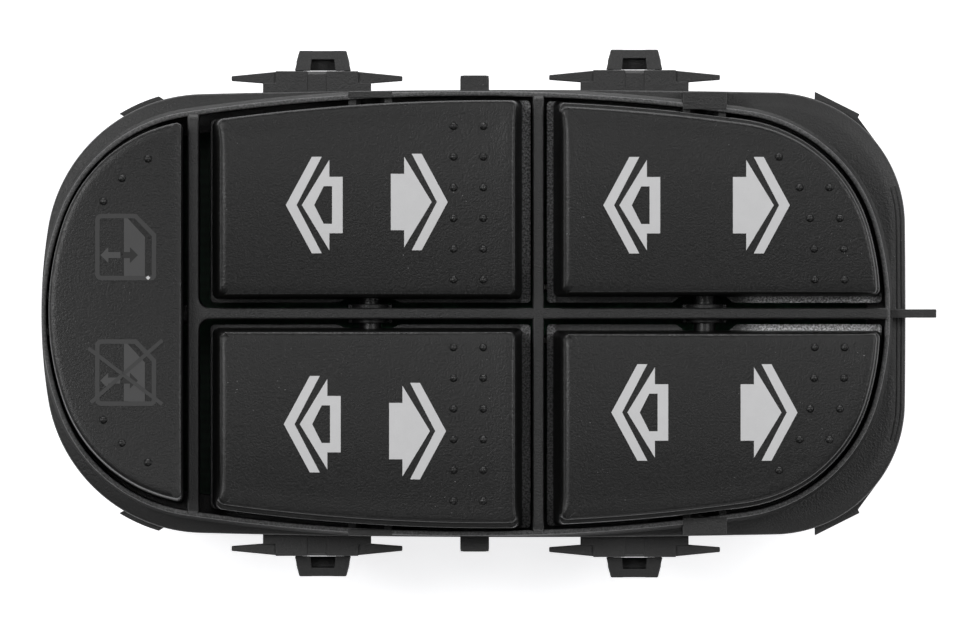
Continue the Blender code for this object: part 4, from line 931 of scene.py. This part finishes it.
# %% Rocker shells
MIDDLE_GAP = 0.6
CAP_RISE = 8.0
CAP_DISH = 0.5
CAP_CROWN = 0.45
CAP_WALL = 1.2
SKIRT_DROP = 1.1
SKIRT_THICK = 1.1
SHELF_LEAN = np.array((0.67, 0.67, 0.67, 1.0))
SHELF_DROP = 0.85
SHELF_FALL = 1.6
RIM_HEIGHT = 0.06
INNER_Y = RIB_THICK / 2 + MIDDLE_GAP
UNIT_Y = (OPENING_HALF + INNER_Y) / 2
CAP_STATIONS = 260
FACE_ROWS = 14
ROD_SIDES = 32


def meet(distances, radius):
    """The shape inside all the given edges, with its corners rounded."""
    past = [np.maximum(distance + radius, 0.0) for distance in distances]
    return np.sqrt(sum(part * part for part in past)) - radius


def window_plan(left, right, gaps, end_gap, flip):
    """A window rocker's outline for given insets: straight sides, and one that follows the wall.

    Its gap to the wall goes evenly from the first of two gaps to the second.
    """
    def plan(insets, corner):
        def outside(x, y):
            y = y * flip
            share = np.clip((x - left) / (right - left), 0.0, 1.0)
            curved = OPENING.outside(x, y, insets[3], end_gap - gaps[1] + insets[1])
            curved = curved + gaps[0] + (gaps[1] - gaps[0]) * share
            return meet((left + insets[0] - x, x - right + insets[1], INNER_Y + insets[2] - y, curved),
                        corner)
        return outside
    return plan


def cap_grid(plan, centre, height, step, lean, rim, edge, rebate=(0.0, 0.0, 0.0, 0.0)):
    """Rows of a rocker's skin from the middle of its ceiling round to the middle of its face.

    Step, lean and rebate give an inset for each side of the plan: the step over the ledge, the
    lean of the wall above it, and the width of the narrow shelf just below the face. The shelf
    lies lower away from the frame's wall. The edge's rounding is a function of x and y.
    """
    step = np.array(step)
    lean = np.array(lean)
    full = step + lean
    shelf_out = step + lean * SHELF_LEAN
    shelf_in = shelf_out + np.array(rebate)
    brow = full + np.array(rebate)
    low = PIVOT_Z - SKIRT_DROP
    ledge = low + SKIRT_THICK
    ceiling = PIVOT_Z + CAP_RISE - CAP_CROWN - 1.5

    def sunk(depth):
        return lambda x, y: height(x, y) - depth * rim(x, y)

    def shelf(x, y):
        inland = np.clip((-OPENING.outside(x, y) - 1.9) / 1.5, 0.0, 1.0)
        return height(x, y) - SHELF_DROP - SHELF_FALL * inland

    section = ((full + CAP_WALL, 0.5, ceiling, 0.5), (step + CAP_WALL, 0.5, low, 0.15),
               (0 * step, 0.5, low, 0.15), (0 * step, 0.5, ledge, 0.12), (step, 0.8, ledge, 0.12),
               (shelf_out, 0.8, shelf, 0.14), (shelf_in, 0.8, shelf, 0.1),
               (brow, 0.8, sunk(0.0), edge), (brow + 2.2, 0.8, sunk(RIM_HEIGHT), 0.9))
    rings = []
    for insets, corner, z, _ in section:
        outline = plan(insets, corner)
        rings.append(ring(outline, centre, spread(outline, centre, CAP_STATIONS), z))
    hub = np.array((centre[0], centre[1], 0.0))
    roof = hub + (rings[0] - hub) * np.array((0.0, 0.5))[:, None, None]
    roof[:, :, 2] = ceiling
    face = hub + (rings[-1] - hub) * np.linspace(0.93, 0.0, FACE_ROWS)[:, None, None]
    face[:, :, 2] = sunk(RIM_HEIGHT)(face[:, :, 0], face[:, :, 1])
    cuts = [0.0] * 2 + [cut if not callable(cut) else cut(rings[-2][:, 0], rings[-2][:, 1])
                        for _, _, _, cut in section] + [0.0] * FACE_ROWS
    return rounded(np.concatenate((roof, rings, face)), cuts, steps=6, closed=False)


def notched(grid, pivot_x, flip, foot):
    """Pulls the skirt and lower wall in beside the two bearings."""
    x = grid[..., 0]
    y = grid[..., 1] * flip
    z = grid[..., 2]
    near = np.abs(x - pivot_x) < BEARING_HALF + 0.5
    outer = OPENING.half_at(pivot_x) - BEARING_DEPTH - SWING_GAP
    below_bearing = near & (z < PIVOT_Z + BEARING_RISE + 0.6)
    y = np.where(below_bearing, np.minimum(y, outer), y)
    y = np.where(near & (z < PIVOT_Z + 1.0), np.maximum(y, INNER_Y + foot), y)
    grid[..., 1] = y * flip
    return grid


def rod(radius, low, high, place, axis, chamfer=0.2):
    """A round bar with chamfered ends: circles carried along an axis and closed by points."""
    turns = np.linspace(0.0, 2 * math.pi, ROD_SIDES + 1)[:-1]
    circle = np.column_stack((np.cos(turns), np.sin(turns)))
    rows = [levelled(reach * circle + place, level)
            for reach, level in ((0.0, low), (radius - chamfer, low), (radius, low + chamfer),
                                 (radius, high - chamfer), (radius - chamfer, high), (0.0, high))]
    return skin(np.array(rows)[:, :, AXIS_ORDER[axis]])


print("points on a pin:", len(rod(PIN_RADIUS, 0.0, 2.0, (0.0, PIVOT_Z), "Y")[0]))


# %% [markdown]
# ## Dots for the fingertip
# Rows of small raised dots tell the driver's finger which rocker it is on. Each is a dome just
# under a millimetre across and two fifths of one high. All domes of a rocker are worked out as
# one array.

# %% Domes
DOT_RADIUS = 0.48
DOT_RISE = 0.42
DOT_SIDES = 20
DOT_COLUMN = 3.64
DOT_FIRST_ROW = 4.15
DOT_PITCH = (OPENING_HALF - DOT_FIRST_ROW) / 6


def domes(places, height):
    """Half ellipsoids: radius R sin v and height H cos v, from the top to just under the face."""
    places = np.array(places)
    turns = np.arange(DOT_SIDES) * math.pi / (DOT_SIDES / 2)
    down = np.linspace(0.0, 1.75, 9)
    top = height(places[:, 0], places[:, 1])[:, None, None]
    reach = DOT_RADIUS * np.sin(down)[None, :, None]
    x = places[:, 0, None, None] + reach * np.cos(turns)
    y = places[:, 1, None, None] + reach * np.sin(turns)
    z = top + DOT_RISE * np.cos(down)[None, :, None] + 0.0 * x
    parts = [skin(grid) for grid in np.stack((x, y, z), axis=-1)]
    for points, faces in parts:
        faces.append(tuple(range(len(points) - DOT_SIDES, len(points))))
    return parts


def left_dots(flip):
    """Two columns of six dots at the right end of a left window rocker."""
    face_right = CROSS_RIB_X - RIB_THICK / 2 - 0.35 - 0.95 - 0.8
    return [(face_right - 3.95 - column * DOT_COLUMN, flip * (DOT_FIRST_ROW + row * DOT_PITCH))
            for column in range(2) for row in range(6)]


def right_dots(flip):
    """Pairs of dots that follow the right end of the opening, and one more past them."""
    places = []
    for row in range(5):
        y = DOT_FIRST_ROW + row * DOT_PITCH
        end_x = trace(OPENING.grown(0.0), (0.0, y), np.array([0.0]))[0, 0]
        outer_x = end_x - 4.85 + row * 0.5
        places += [(outer_x, flip * y), (outer_x - DOT_COLUMN, flip * y)]
    del places[-2]
    return places


def lock_dots():
    """Three dots in each half of the lock rocker, at one distance from the opening's outline."""
    upper = trace(OPENING.grown(-3.8), (-40.0, 0.0), np.radians((95.1, 106.6, 118.0)))
    return [(x, flip * y) for x, y in upper for flip in (1, -1)]


print("dots:", [len(made) for made in (left_dots(1), right_dots(1), lock_dots())])


# %% [markdown]
# ## The four window rockers
# The two left rockers and the two right ones differ in their outlines and in where their dots
# lie. One function builds all four, from the numbers of a column and the side of the middle rib
# that the rocker is on. The pins and the stem are rods with chamfered ends.

# %% Window rockers
STEM_RADIUS = 2.9
STEM_TOP_Z = PIVOT_Z + CAP_RISE - 1.2
END_GAP = 0.32
INNER_EDGE = 1.2
OUTER_EDGE = 0.6
# Gaps to the long wall are given at the left and right ends. Rebate, step and lean are insets of
# the four sides: left end, right end, middle rib, long wall. 1 is an upper rocker, -1 a lower one.
WINDOW_COLUMNS = {
    "left": {"ends": (LOCK_RIB_X + RIB_THICK / 2 + 1.25, CROSS_RIB_X - RIB_THICK / 2 - 0.22),
             "gaps": {1: (0.85, 0.45), -1: (0.7, 0.28)},
             "rebate": {1: (0.0, 0.0, 0.0, 0.0), -1: (0.0, 0.0, 0.0, 0.6)},
             "step": (0.3, 1.08, 0.5, 0.02), "lean": (0.8, 0.8, 0.4, 0.05),
             "shift": (0.0, 0.0), "dots": left_dots},
    "right": {"ends": (CROSS_RIB_X + RIB_THICK / 2 + 0.35, OPENING_RIGHT),
              "gaps": {1: (0.42, 0.36), -1: (0.42, 0.36)},
              "rebate": {1: (0.0, 0.2, 0.0, 0.42), -1: (0.0, 0.2, 0.0, 0.5)},
              "step": (0.8, 0.02, 0.8, 0.02), "lean": (1.1, 0.45, 0.35, 0.2),
              "shift": (2.0, 1.0), "dots": right_dots},
}
faces_of = {}


def window_rocker(row, flip, column):
    """Builds one window rocker and keeps its face's height for the signs.

    The face rises by CAP_DISH towards both ends and falls by CAP_CROWN towards both long sides,
    each with the square of the distance from its middle. The shift moves that middle.
    """
    numbers = WINDOW_COLUMNS[column]
    low_x, high_x = numbers["ends"]
    half_y = (OPENING_HALF - INNER_Y) / 2
    centre = ((low_x + high_x) / 2 - numbers["shift"][0],
              flip * (INNER_Y + half_y - numbers["shift"][1]))
    half_x = (high_x - low_x) / 2

    def height(x, y):
        along = (x - centre[0]) / half_x
        across = (y - centre[1]) / half_y
        return PIVOT_Z + CAP_RISE + CAP_DISH * along ** 2 - CAP_CROWN * across ** 2

    def rim(x, y):
        return np.clip((y * flip - 17.0) / 5.0, 0.0, 1.0)

    def edge(x, y):
        inner_end = low_x + numbers["step"][0] + numbers["lean"][0] + 0.6
        return np.where(x < inner_end, INNER_EDGE, OUTER_EDGE)

    plan = window_plan(low_x, high_x, numbers["gaps"][flip], END_GAP, flip)
    grid = cap_grid(plan, centre, height, numbers["step"], numbers["lean"], rim, edge,
                    numbers["rebate"][flip])
    pivot_x = PIVOT_X[column]
    grid = notched(grid, pivot_x, flip, numbers["step"][2] - 0.02)
    outer = OPENING.half_at(pivot_x) - BEARING_DEPTH - SWING_GAP
    pins = [rod(PIN_RADIUS, *sorted((flip * (outer - 0.5), flip * (outer + SWING_GAP + 0.5))),
                (pivot_x, PIVOT_Z), "Y"),
            rod(PIN_RADIUS, *sorted((flip * SEAT_GAP, flip * (INNER_Y + numbers["step"][2] + 0.6))),
                (pivot_x, PIVOT_Z), "Y")]
    stem = rod(STEM_RADIUS, STEM_Z, STEM_TOP_Z, (pivot_x, flip * UNIT_Y), "Z")
    parts = [skin(grid), *pins, stem, *domes(numbers["dots"](flip), height)]
    name = f"{row}_{column}"
    made = piece(f"cap_{name}", parts, rocker_plastic, f"{name}_rocker")
    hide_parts(f"rocker_{name}")
    faces_of[name] = height


for row, flip in (("upper", 1), ("lower", -1)):
    for column in WINDOW_COLUMNS:
        window_rocker(row, flip, column)

# %% [markdown]
# ## The lock rocker
# The rear-lock rocker has the shape of a capital D and turns about the long axis of the pack. It
# rests on one of two detents, so it is built level and then turned about its pins by the same
# angle as its solid.

# %% Lock rocker
LOCK_TILT = -2.5
LOCK_STEM_X = -46.0
LOCK_DISH = 0.3
LOCK_SIDE_GAP = 0.7
LOCK_END_GAP = 0.2
lock_right = LOCK_RIB_X - RIB_THICK / 2 - 0.6
lock_half = OPENING.half_at(lock_right) - 0.85


def lock_plan(insets, corner):
    """The lock rocker's outline: a straight right side and the opening's left end."""
    def outside(x, y):
        curved = OPENING.outside(x, y, LOCK_SIDE_GAP + insets[3], LOCK_END_GAP + insets[3])
        return meet((x - lock_right + insets[1], curved), corner)
    return outside


def lock_height(x, y):
    """The face: dished along Y and crowned along X."""
    along = y / lock_half
    across = (x - LOCK_STEM_X - 0.5) / 8.0
    return PIVOT_Z + CAP_RISE + LOCK_DISH * along ** 2 - 0.3 * CAP_CROWN * across ** 2


def tilted(points, angle):
    """Points turned about the lock rocker's pin axis, which runs along X."""
    turn = math.radians(angle)
    made = points.copy()
    up = points[:, 2] - PIVOT_Z
    made[:, 1] = points[:, 1] * math.cos(turn) - up * math.sin(turn)
    made[:, 2] = PIVOT_Z + points[:, 1] * math.sin(turn) + up * math.cos(turn)
    return made


def lock_notched(grid):
    """Pulls the left end in beside its bearing, below the bearing's top."""
    x, y, z = (grid[..., i] for i in range(3))
    near = (np.abs(y) < BEARING_HALF + 0.5) & (z < PIVOT_Z + BEARING_RISE + 0.6)
    grid[..., 0] = np.where(near, np.maximum(x, OPENING_LEFT + BEARING_DEPTH + SWING_GAP), x)
    return grid


def lock_edge(x, y):
    """The rounding of the lock rocker's edge: slight on its straight side, full on its curve."""
    return np.where(x > lock_right - 1.0, 0.3, 1.4)


lock_grid = cap_grid(lock_plan, (LOCK_STEM_X + 0.5, 0.0), lock_height, (0.0,) * 4, (0.2,) * 4,
                     lambda x, y: 0.0 * x, lock_edge)
rib_face = LOCK_RIB_X - RIB_THICK / 2
lock_parts = [skin(lock_notched(lock_grid)),
              rod(PIN_RADIUS, OPENING_LEFT + 0.15, OPENING_LEFT + 1.8, (0.0, PIVOT_Z), "X"),
              rod(PIN_RADIUS, lock_right - 0.8, rib_face + 0.85 * RIB_THICK - SEAT_GAP,
                  (0.0, PIVOT_Z), "X"),
              rod(STEM_RADIUS, STEM_Z, STEM_TOP_Z, (LOCK_STEM_X, 0.0), "Z"),
              *domes(lock_dots(), lock_height)]
lock_parts = [(tilted(points, LOCK_TILT), faces) for points, faces in lock_parts]
lock_cap = piece("cap_lock", lock_parts, rocker_plastic, "lock_rocker_body")
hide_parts("lock_rocker")

# %% [markdown]
# ## Window signs
# The signs are windows in the black skin of a rocker: the cap is moulded in milky white and
# painted, and a laser burns the paint away. They are made here as thin sheets that follow the
# face, each a few four-cornered patches. One design serves all eight: a chevron and an arrow,
# open on the left of a rocker and full on its right.

# %% Sign ink
def sign_finish(name, level):
    """Milky plastic under the laser's fine marks."""
    made = Finish(name)
    veil = made.noise(1.2, detail=3.0)
    fine = made.noise(0.12, detail=2.0)
    share = 0.35 + veil * 0.4 + (fine - 0.5) * 0.5
    colour = made.mixed(share, grey(level * 0.9), grey(level * 1.12))
    return made.feed(Base_Color=colour, Roughness=0.5 + (fine - 0.5) * 0.1)


white_sign = sign_finish("laser-cut white sign", 0.6)
pane_sign = sign_finish("unlit grey pane", 0.05)
dim_sign = sign_finish("unlit grey line", 0.03)
dark_sign = sign_finish("dark line in a sign", 0.004)
print("signs:", [made.name for made in (white_sign, pane_sign, dim_sign, dark_sign)])

# %% Patches laid on a face
PIXEL = 0.1225
SIGN_LIFT = 0.025
SIGN_THICK = 0.06


def at(column, row):
    """The place in the pack, in mm, of a pixel of the photograph."""
    return np.array(((column - 488.5) * PIXEL, (313.5 - row) * PIXEL))


def patch(corners, height, lift=SIGN_LIFT, steps=10):
    """A four-cornered patch on a face: bilinear between its corners, lifted off by the ink."""
    a, b, c, d = (np.array(corner, float) for corner in corners)
    if np.cross(c - a, d - b) < 0:
        b, d = d, b
    u = np.linspace(0.0, 1.0, steps)[:, None, None]
    v = np.linspace(0.0, 1.0, steps)[None, :, None]
    flat = (1 - u) * (1 - v) * a + u * (1 - v) * b + u * v * c + (1 - u) * v * d
    lifted = height(flat[..., 0], flat[..., 1]) + lift
    return skin(np.concatenate((flat, lifted[..., None]), axis=-1), wrap_columns=False)


def sign(name, parts, material, body):
    """Patches as one thin piece: a sheet with a wall thickness that reaches into the face."""
    made = piece(name, parts, material, body, closed=False)
    made.data.shade_flat()
    wall = made.modifiers.new("ink", "SOLIDIFY")
    wall.thickness = SIGN_THICK * MM
    wall.offset = -1.0
    return made


# The patches of a sign's upper half. Each corner has a length back from the chevron's tip and a
# height over the middle line.
CHEVRON = (((0.0, 0.0), (3.19, 5.9), (4.4, 5.9), (1.32, 0.0)),)
FULL_ARROW = (((1.96, 0.0), (5.33, 5.54), (5.33, 3.45), (5.33, 0.0)),
              ((5.33, 0.0), (5.33, 3.45), (6.96, 3.45), (6.96, 0.0)))
OPEN_ARROW = (((1.96, 0.0), (5.33, 5.54), (4.64, 2.3), (3.48, 0.0)),
              ((5.33, 5.54), (5.33, 3.45), (4.64, 2.3), (4.64, 2.3)),
              ((5.33, 3.45), (6.96, 3.45), (5.66, 2.3), (4.64, 2.3)),
              ((6.96, 3.45), (6.96, 0.0), (5.66, 0.0), (5.66, 2.3)))


def window_sign(tip, way, shapes, height):
    """Patches and their mirror images under the middle line, placed back from a chevron's tip."""
    return [patch([(tip[0] - way * back, tip[1] + side * up) for back, up in shape], height)
            for side in (-1, 1) for shape in shapes]


SIGN_TIPS = {"upper_left": ((286.1, 205.2), (447.8, 202.2)),
             "lower_left": ((284.1, 424.0), (446.1, 430.9)),
             "upper_right": ((603.1, 205.4), (789.3, 205.4)),
             "lower_right": ((611.1, 412.3), (797.0, 412.3))}
for name, (left_tip, right_tip) in SIGN_TIPS.items():
    parts = window_sign(at(*left_tip), -1, CHEVRON + OPEN_ARROW, faces_of[name])
    parts += window_sign(at(*right_tip), 1, CHEVRON + FULL_ARROW, faces_of[name])
    sign(f"signs_{name}", parts, white_sign, f"{name}_rocker")

# %% [markdown]
# ## Lock signs
# The two signs on the lock rocker are lit only when the lock is on, so here they are a shade
# above the plastic round them. Each shows a car window with arrows, and the lower one is crossed
# out. Their lines are ribbons with mitred corners, worked out for a whole path at once.

# %% Ribbons and the two lock signs
def ribbon(path, width, height, lift, closed=False):
    """A line of even width: each point moves along its mitre by half the width to both sides."""
    path = np.array(path, float)
    ahead = np.roll(path, -1, axis=0) - path
    if not closed:
        ahead[-1] = ahead[-2]
    ahead /= np.linalg.norm(ahead, axis=1, keepdims=True)
    behind = np.roll(ahead, 1, axis=0)
    if not closed:
        behind[0] = ahead[0]
    across = np.column_stack((-ahead[:, 1] - behind[:, 1], ahead[:, 0] + behind[:, 0]))
    across /= np.linalg.norm(across, axis=1, keepdims=True)
    square = np.column_stack((-ahead[:, 1], ahead[:, 0]))
    reach = width / 2 / np.maximum((across * square).sum(axis=1, keepdims=True), 0.3)
    left = path + across * reach
    right = path - across * reach
    parts = []
    count = len(path) if closed else len(path) - 1
    for i in range(count):
        j = (i + 1) % len(path)
        parts.append(patch((left[i], right[i], right[j], left[j]), height, lift, steps=4))
    return parts


def lock_frame(top, bottom):
    """The window's frame as pixels: round corners, and one cut off."""
    left = 98.0
    right = 154.5
    path = arc((left + 4, top + 4), 4, 180, 270, 4)
    path += [(136.0, top), (right, top + 19.0)]
    path += arc((right - 3, bottom - 3), 3, 0, 90, 4)
    path += arc((left + 4, bottom - 4), 4, 90, 180, 4)
    return path


def lock_patch(pixels, lift, steps=10):
    """A patch on the lock rocker's face between four pixels of the photograph."""
    return patch([at(*pixel) for pixel in pixels], lock_height, lift, steps)


def arrow(tail, tip, row, lift):
    """A short arrow along a row of pixels: a shaft and a head."""
    neck = tip - 8.0 if tip > tail else tip + 8.0
    return [lock_patch([(tail, row - 3), (neck, row - 3), (neck, row + 3), (tail, row + 3)], lift, 4),
            lock_patch([(neck, row - 8), (tip, row), (neck, row + 8), (neck, row)], lift, 4)]


LINE_WIDTH = 0.56
CROSS_WIDTH = 0.46
LINE_LIFT = 0.02
PANE_LIFT = 0.018
ARROW_LIFT = 0.03
CROSS_LIFT = 0.04
SPECK_LIFT = 0.035
CROSS_LINES = (((88.8, 350.9), (162.9, 407.1)), ((162.9, 342.9), (91.4, 405.4)))
lines = []
panes = []
arrows = []
for top, bottom in ((219.0, 281.0), (344.4, 406.5)):
    frame_path = [at(*pixel) for pixel in lock_frame(top, bottom)]
    lines += ribbon(frame_path, LINE_WIDTH, lock_height, LINE_LIFT, closed=True)
    low = bottom - 2.0
    corner = (145.5, top + 21.0)
    panes.append(lock_patch([(124.5, low), (124.5, top + 2.0), (128.0, top + 2.0), corner], PANE_LIFT))
    panes.append(lock_patch([(124.5, low), corner, (145.5, low), (135.0, low)], PANE_LIFT))
    middle = (top + bottom) / 2 + 8.0
    panes += arrow(121.0, 101.0, middle, LINE_LIFT)
    arrows += arrow(123.5, 138.5, middle, ARROW_LIFT)
for ends in CROSS_LINES:
    lines += ribbon([at(*pixel) for pixel in ends], CROSS_WIDTH, lock_height, CROSS_LIFT)
speck = [lock_patch([(148.6 - 2.2, 280.7), (148.6, 278.5), (148.6 + 2.2, 280.7), (148.6, 282.9)],
                    SPECK_LIFT, 3)]
for name, parts, material in (("speck", speck, white_sign), ("lines", lines, dim_sign),
                              ("panes", panes, pane_sign), ("arrows", arrows, dark_sign)):
    turned_parts = [(tilted(points, LOCK_TILT), faces) for points, faces in parts]
    made = sign(f"signs_lock_{name}", turned_parts, material, "lock_rocker_body")

# %% [markdown]
# ## Inside the pack
# The board, contacts and springs stay as their solids, and only their materials are made here:
# a green laminate, stamped copper and brass, tin and silver plating, drawn steel wire, natural
# acetal for the plungers and a milky lens for each lamp. The outer solids get the plastics of the
# pieces that stand in for them.

# %% Materials of the solids
def metal(name, colour, roughness, grain):
    """Stamped or drawn metal with fine scratches along the pack."""
    made = Finish(name)
    stretch = made.node("ShaderNodeMapping", Vector=made.place, Scale=(0.15, 1.0, 1.0))
    scratch = made.node("ShaderNodeTexNoise", Vector=stretch, Scale=1.0 / (0.12 * MM), Detail=3.0)
    stain = made.noise(1.5, detail=3.0)
    low = tuple(value * 0.82 for value in colour)
    tint = made.mixed(stain, (*low, 1.0), (*colour, 1.0))
    return made.feed(Base_Color=tint, Metallic=1.0, Roughness=roughness + (scratch - 0.5) * 0.2,
                     Normal=made.bump(scratch, grain))


def laminate():
    """Green solder mask over woven glass: the weave is two crossed waves."""
    made = Finish("green board laminate")
    along = made.node("ShaderNodeTexWave", Vector=made.place, Scale=260.0, out=1)
    across = made.node("ShaderNodeTexWave", settings={"bands_direction": "Y"}, Vector=made.place,
                       Scale=260.0, out=1)
    weave = along * 0.5 + across * 0.5
    colour = made.mixed(weave, (0.012, 0.085, 0.035, 1.0), (0.02, 0.12, 0.05, 1.0))
    return made.feed(Base_Color=colour, Roughness=0.35, Normal=made.bump(weave, 0.01))


def milky(name, colour, roughness):
    """Unfilled plastic that is slightly cloudy."""
    made = Finish(name)
    cloud = made.noise(0.8, detail=3.0)
    tint = made.mixed(cloud, tuple(v * 0.88 for v in colour[:3]) + (1.0,), colour)
    return made.feed(Base_Color=tint, Roughness=roughness + (cloud - 0.5) * 0.1)


SOLID_FINISHES = {
    "circuit_board": laminate(),
    "plunger_": milky("natural acetal", (0.62, 0.58, 0.48, 1.0), 0.4),
    "lamp_": milky("milky lamp lens", (0.85, 0.85, 0.8, 1.0), 0.25),
    "spring_": metal("drawn spring wire", (0.6, 0.6, 0.62), 0.32, 0.004),
    "seesaw_": metal("stamped copper", (0.72, 0.36, 0.2), 0.33, 0.006),
    "pivot_post_": metal("stamped brass", (0.78, 0.62, 0.32), 0.36, 0.006),
    "fixed_contact_": metal("silver plating", (0.8, 0.78, 0.72), 0.28, 0.003),
    "terminal_": metal("tin plating", (0.75, 0.73, 0.7), 0.34, 0.005),
    "bezel_frame": frame_plastic, "switch_base": base_plastic,
    "rocker_": rocker_plastic, "lock_rocker": rocker_plastic,
}
for start, material in SOLID_FINISHES.items():
    found = [solid for node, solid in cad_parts.items() if node.startswith(start)]
    for solid in found:
        solid.data.materials.clear()
        solid.data.materials.append(material)
    print(material.name, "on", len(found), "solids")

# %% [markdown]
# ## Floor, light and camera
# The photograph is a plain product shot from straight above on white. The floor is a large pale
# sheet. To the camera and in gloss it also glows a little, so that it reads white while the
# shadow of the pack stays on it. Two large lamps stand far off to the left and right, so that all
# the faces get one even sheen. Low strips behind and beside the pack light its edges, a small
# lamp overhead reaches the ledges in the gaps, and a weak fill lifts the near side. The camera is
# far away with a long lens, because nothing in the photograph leans outwards.

# %% Floor and world
FLOOR_HALF = 6.0
FLOOR_GLOW = 0.68
WORLD_LIGHT = 0.1
floor_mesh = bpy.data.meshes.new("floor")
corners = [(x * FLOOR_HALF, y * FLOOR_HALF, 0) for x, y in ((-1, -1), (1, -1), (1, 1), (-1, 1))]
floor_mesh.from_pydata(corners, [], [(0, 1, 2, 3)])
floor = bpy.data.objects.new("floor", floor_mesh)
bpy.context.scene.collection.objects.link(floor)
paper = Finish("white paper floor")
fibres = paper.noise(3.0, detail=4.0)
paper.feed(Base_Color=paper.mixed(fibres, grey(0.83), grey(0.87)), Roughness=0.9)
matt = Wire(paper.tree, paper.shader.outputs[0])
glow = paper.node("ShaderNodeEmission", Color=grey(1.0), Strength=FLOOR_GLOW)
lit = paper.node("ShaderNodeAddShader", _0=matt, _1=glow)
seen = paper.node("ShaderNodeLightPath", out="Is Camera Ray")
seen = seen + paper.node("ShaderNodeLightPath", out="Is Glossy Ray")
both = paper.node("ShaderNodeMixShader", _0=seen, _1=matt, _2=lit)
output = next(n for n in paper.tree.nodes if n.type == "OUTPUT_MATERIAL")
paper.tree.links.new(both.socket, output.inputs["Surface"])
floor_mesh.materials.append(paper.material)

world = bpy.data.worlds.new("studio")
bpy.context.scene.world = world
world.use_nodes = True
sky = world.node_tree.nodes["Background"]
sky.inputs["Color"].default_value = grey(1.0)
sky.inputs["Strength"].default_value = WORLD_LIGHT
print("floor width in m:", 2 * FLOOR_HALF, "world light:", WORLD_LIGHT)

# %% Lamps and camera
# For each lamp: its place and the two sides of its sheet in metres, and its power in watts
LAMPS = {
    "left softbox": ((-1.15, 0.46, 2.1), (0.8, 0.8), 20.5),
    "right softbox": ((1.2, 0.46, 2.1), (0.8, 0.8), 16.5),
    "overhead softbox": ((-0.05, 0.19, 0.9), (0.2, 0.2), 0.16),
    "upper strip": ((0.0, 0.9, 0.2), (1.2, 0.2), 6.0),
    "left strip": ((-0.9, 0.1, 0.16), (0.9, 0.2), 1.6),
    "right strip": ((0.9, 0.1, 0.16), (0.9, 0.2), 1.6),
    "lower fill": ((0.12, -0.45, 0.42), (0.3, 0.2), 0.4),
}
LAMP_TARGET = np.array((0.0, 0.0, 0.03))
SENSOR_WIDTH = 36.0
LENS = 900.0
FACE_LEVEL = 0.034
PHOTO_WIDTH = 960
PHOTO_MIDDLE = (480.0, 319.5)


def softbox(name, place, size, power):
    """A rectangular lamp that faces the pack and that the camera doesn't see."""
    data = bpy.data.lights.new(name, "AREA")
    data.shape = "RECTANGLE"
    data.size, data.size_y = size
    data.energy = power
    lamp = bpy.data.objects.new(name, data)
    lamp.location = place
    lamp.rotation_euler = Vector(LAMP_TARGET - np.array(place)).to_track_quat("-Z", "Y").to_euler()
    lamp.visible_camera = False
    bpy.context.scene.collection.objects.link(lamp)


for name, numbers in LAMPS.items():
    softbox(name, *numbers)
scene = bpy.context.scene
scene.view_settings.view_transform = "Standard"
camera_data = bpy.data.cameras.new("camera")
camera_data.sensor_width = SENSOR_WIDTH
camera_data.lens = LENS
camera_data.clip_end = 10.0
camera = bpy.data.objects.new("camera", camera_data)
centre = at(*PHOTO_MIDDLE) * MM
camera.location = (centre[0], centre[1], FACE_LEVEL + PHOTO_WIDTH * PIXEL * MM * LENS / SENSOR_WIDTH)
scene.collection.objects.link(camera)
scene.camera = camera
print("camera height in m:", round(camera.location.z, 2))
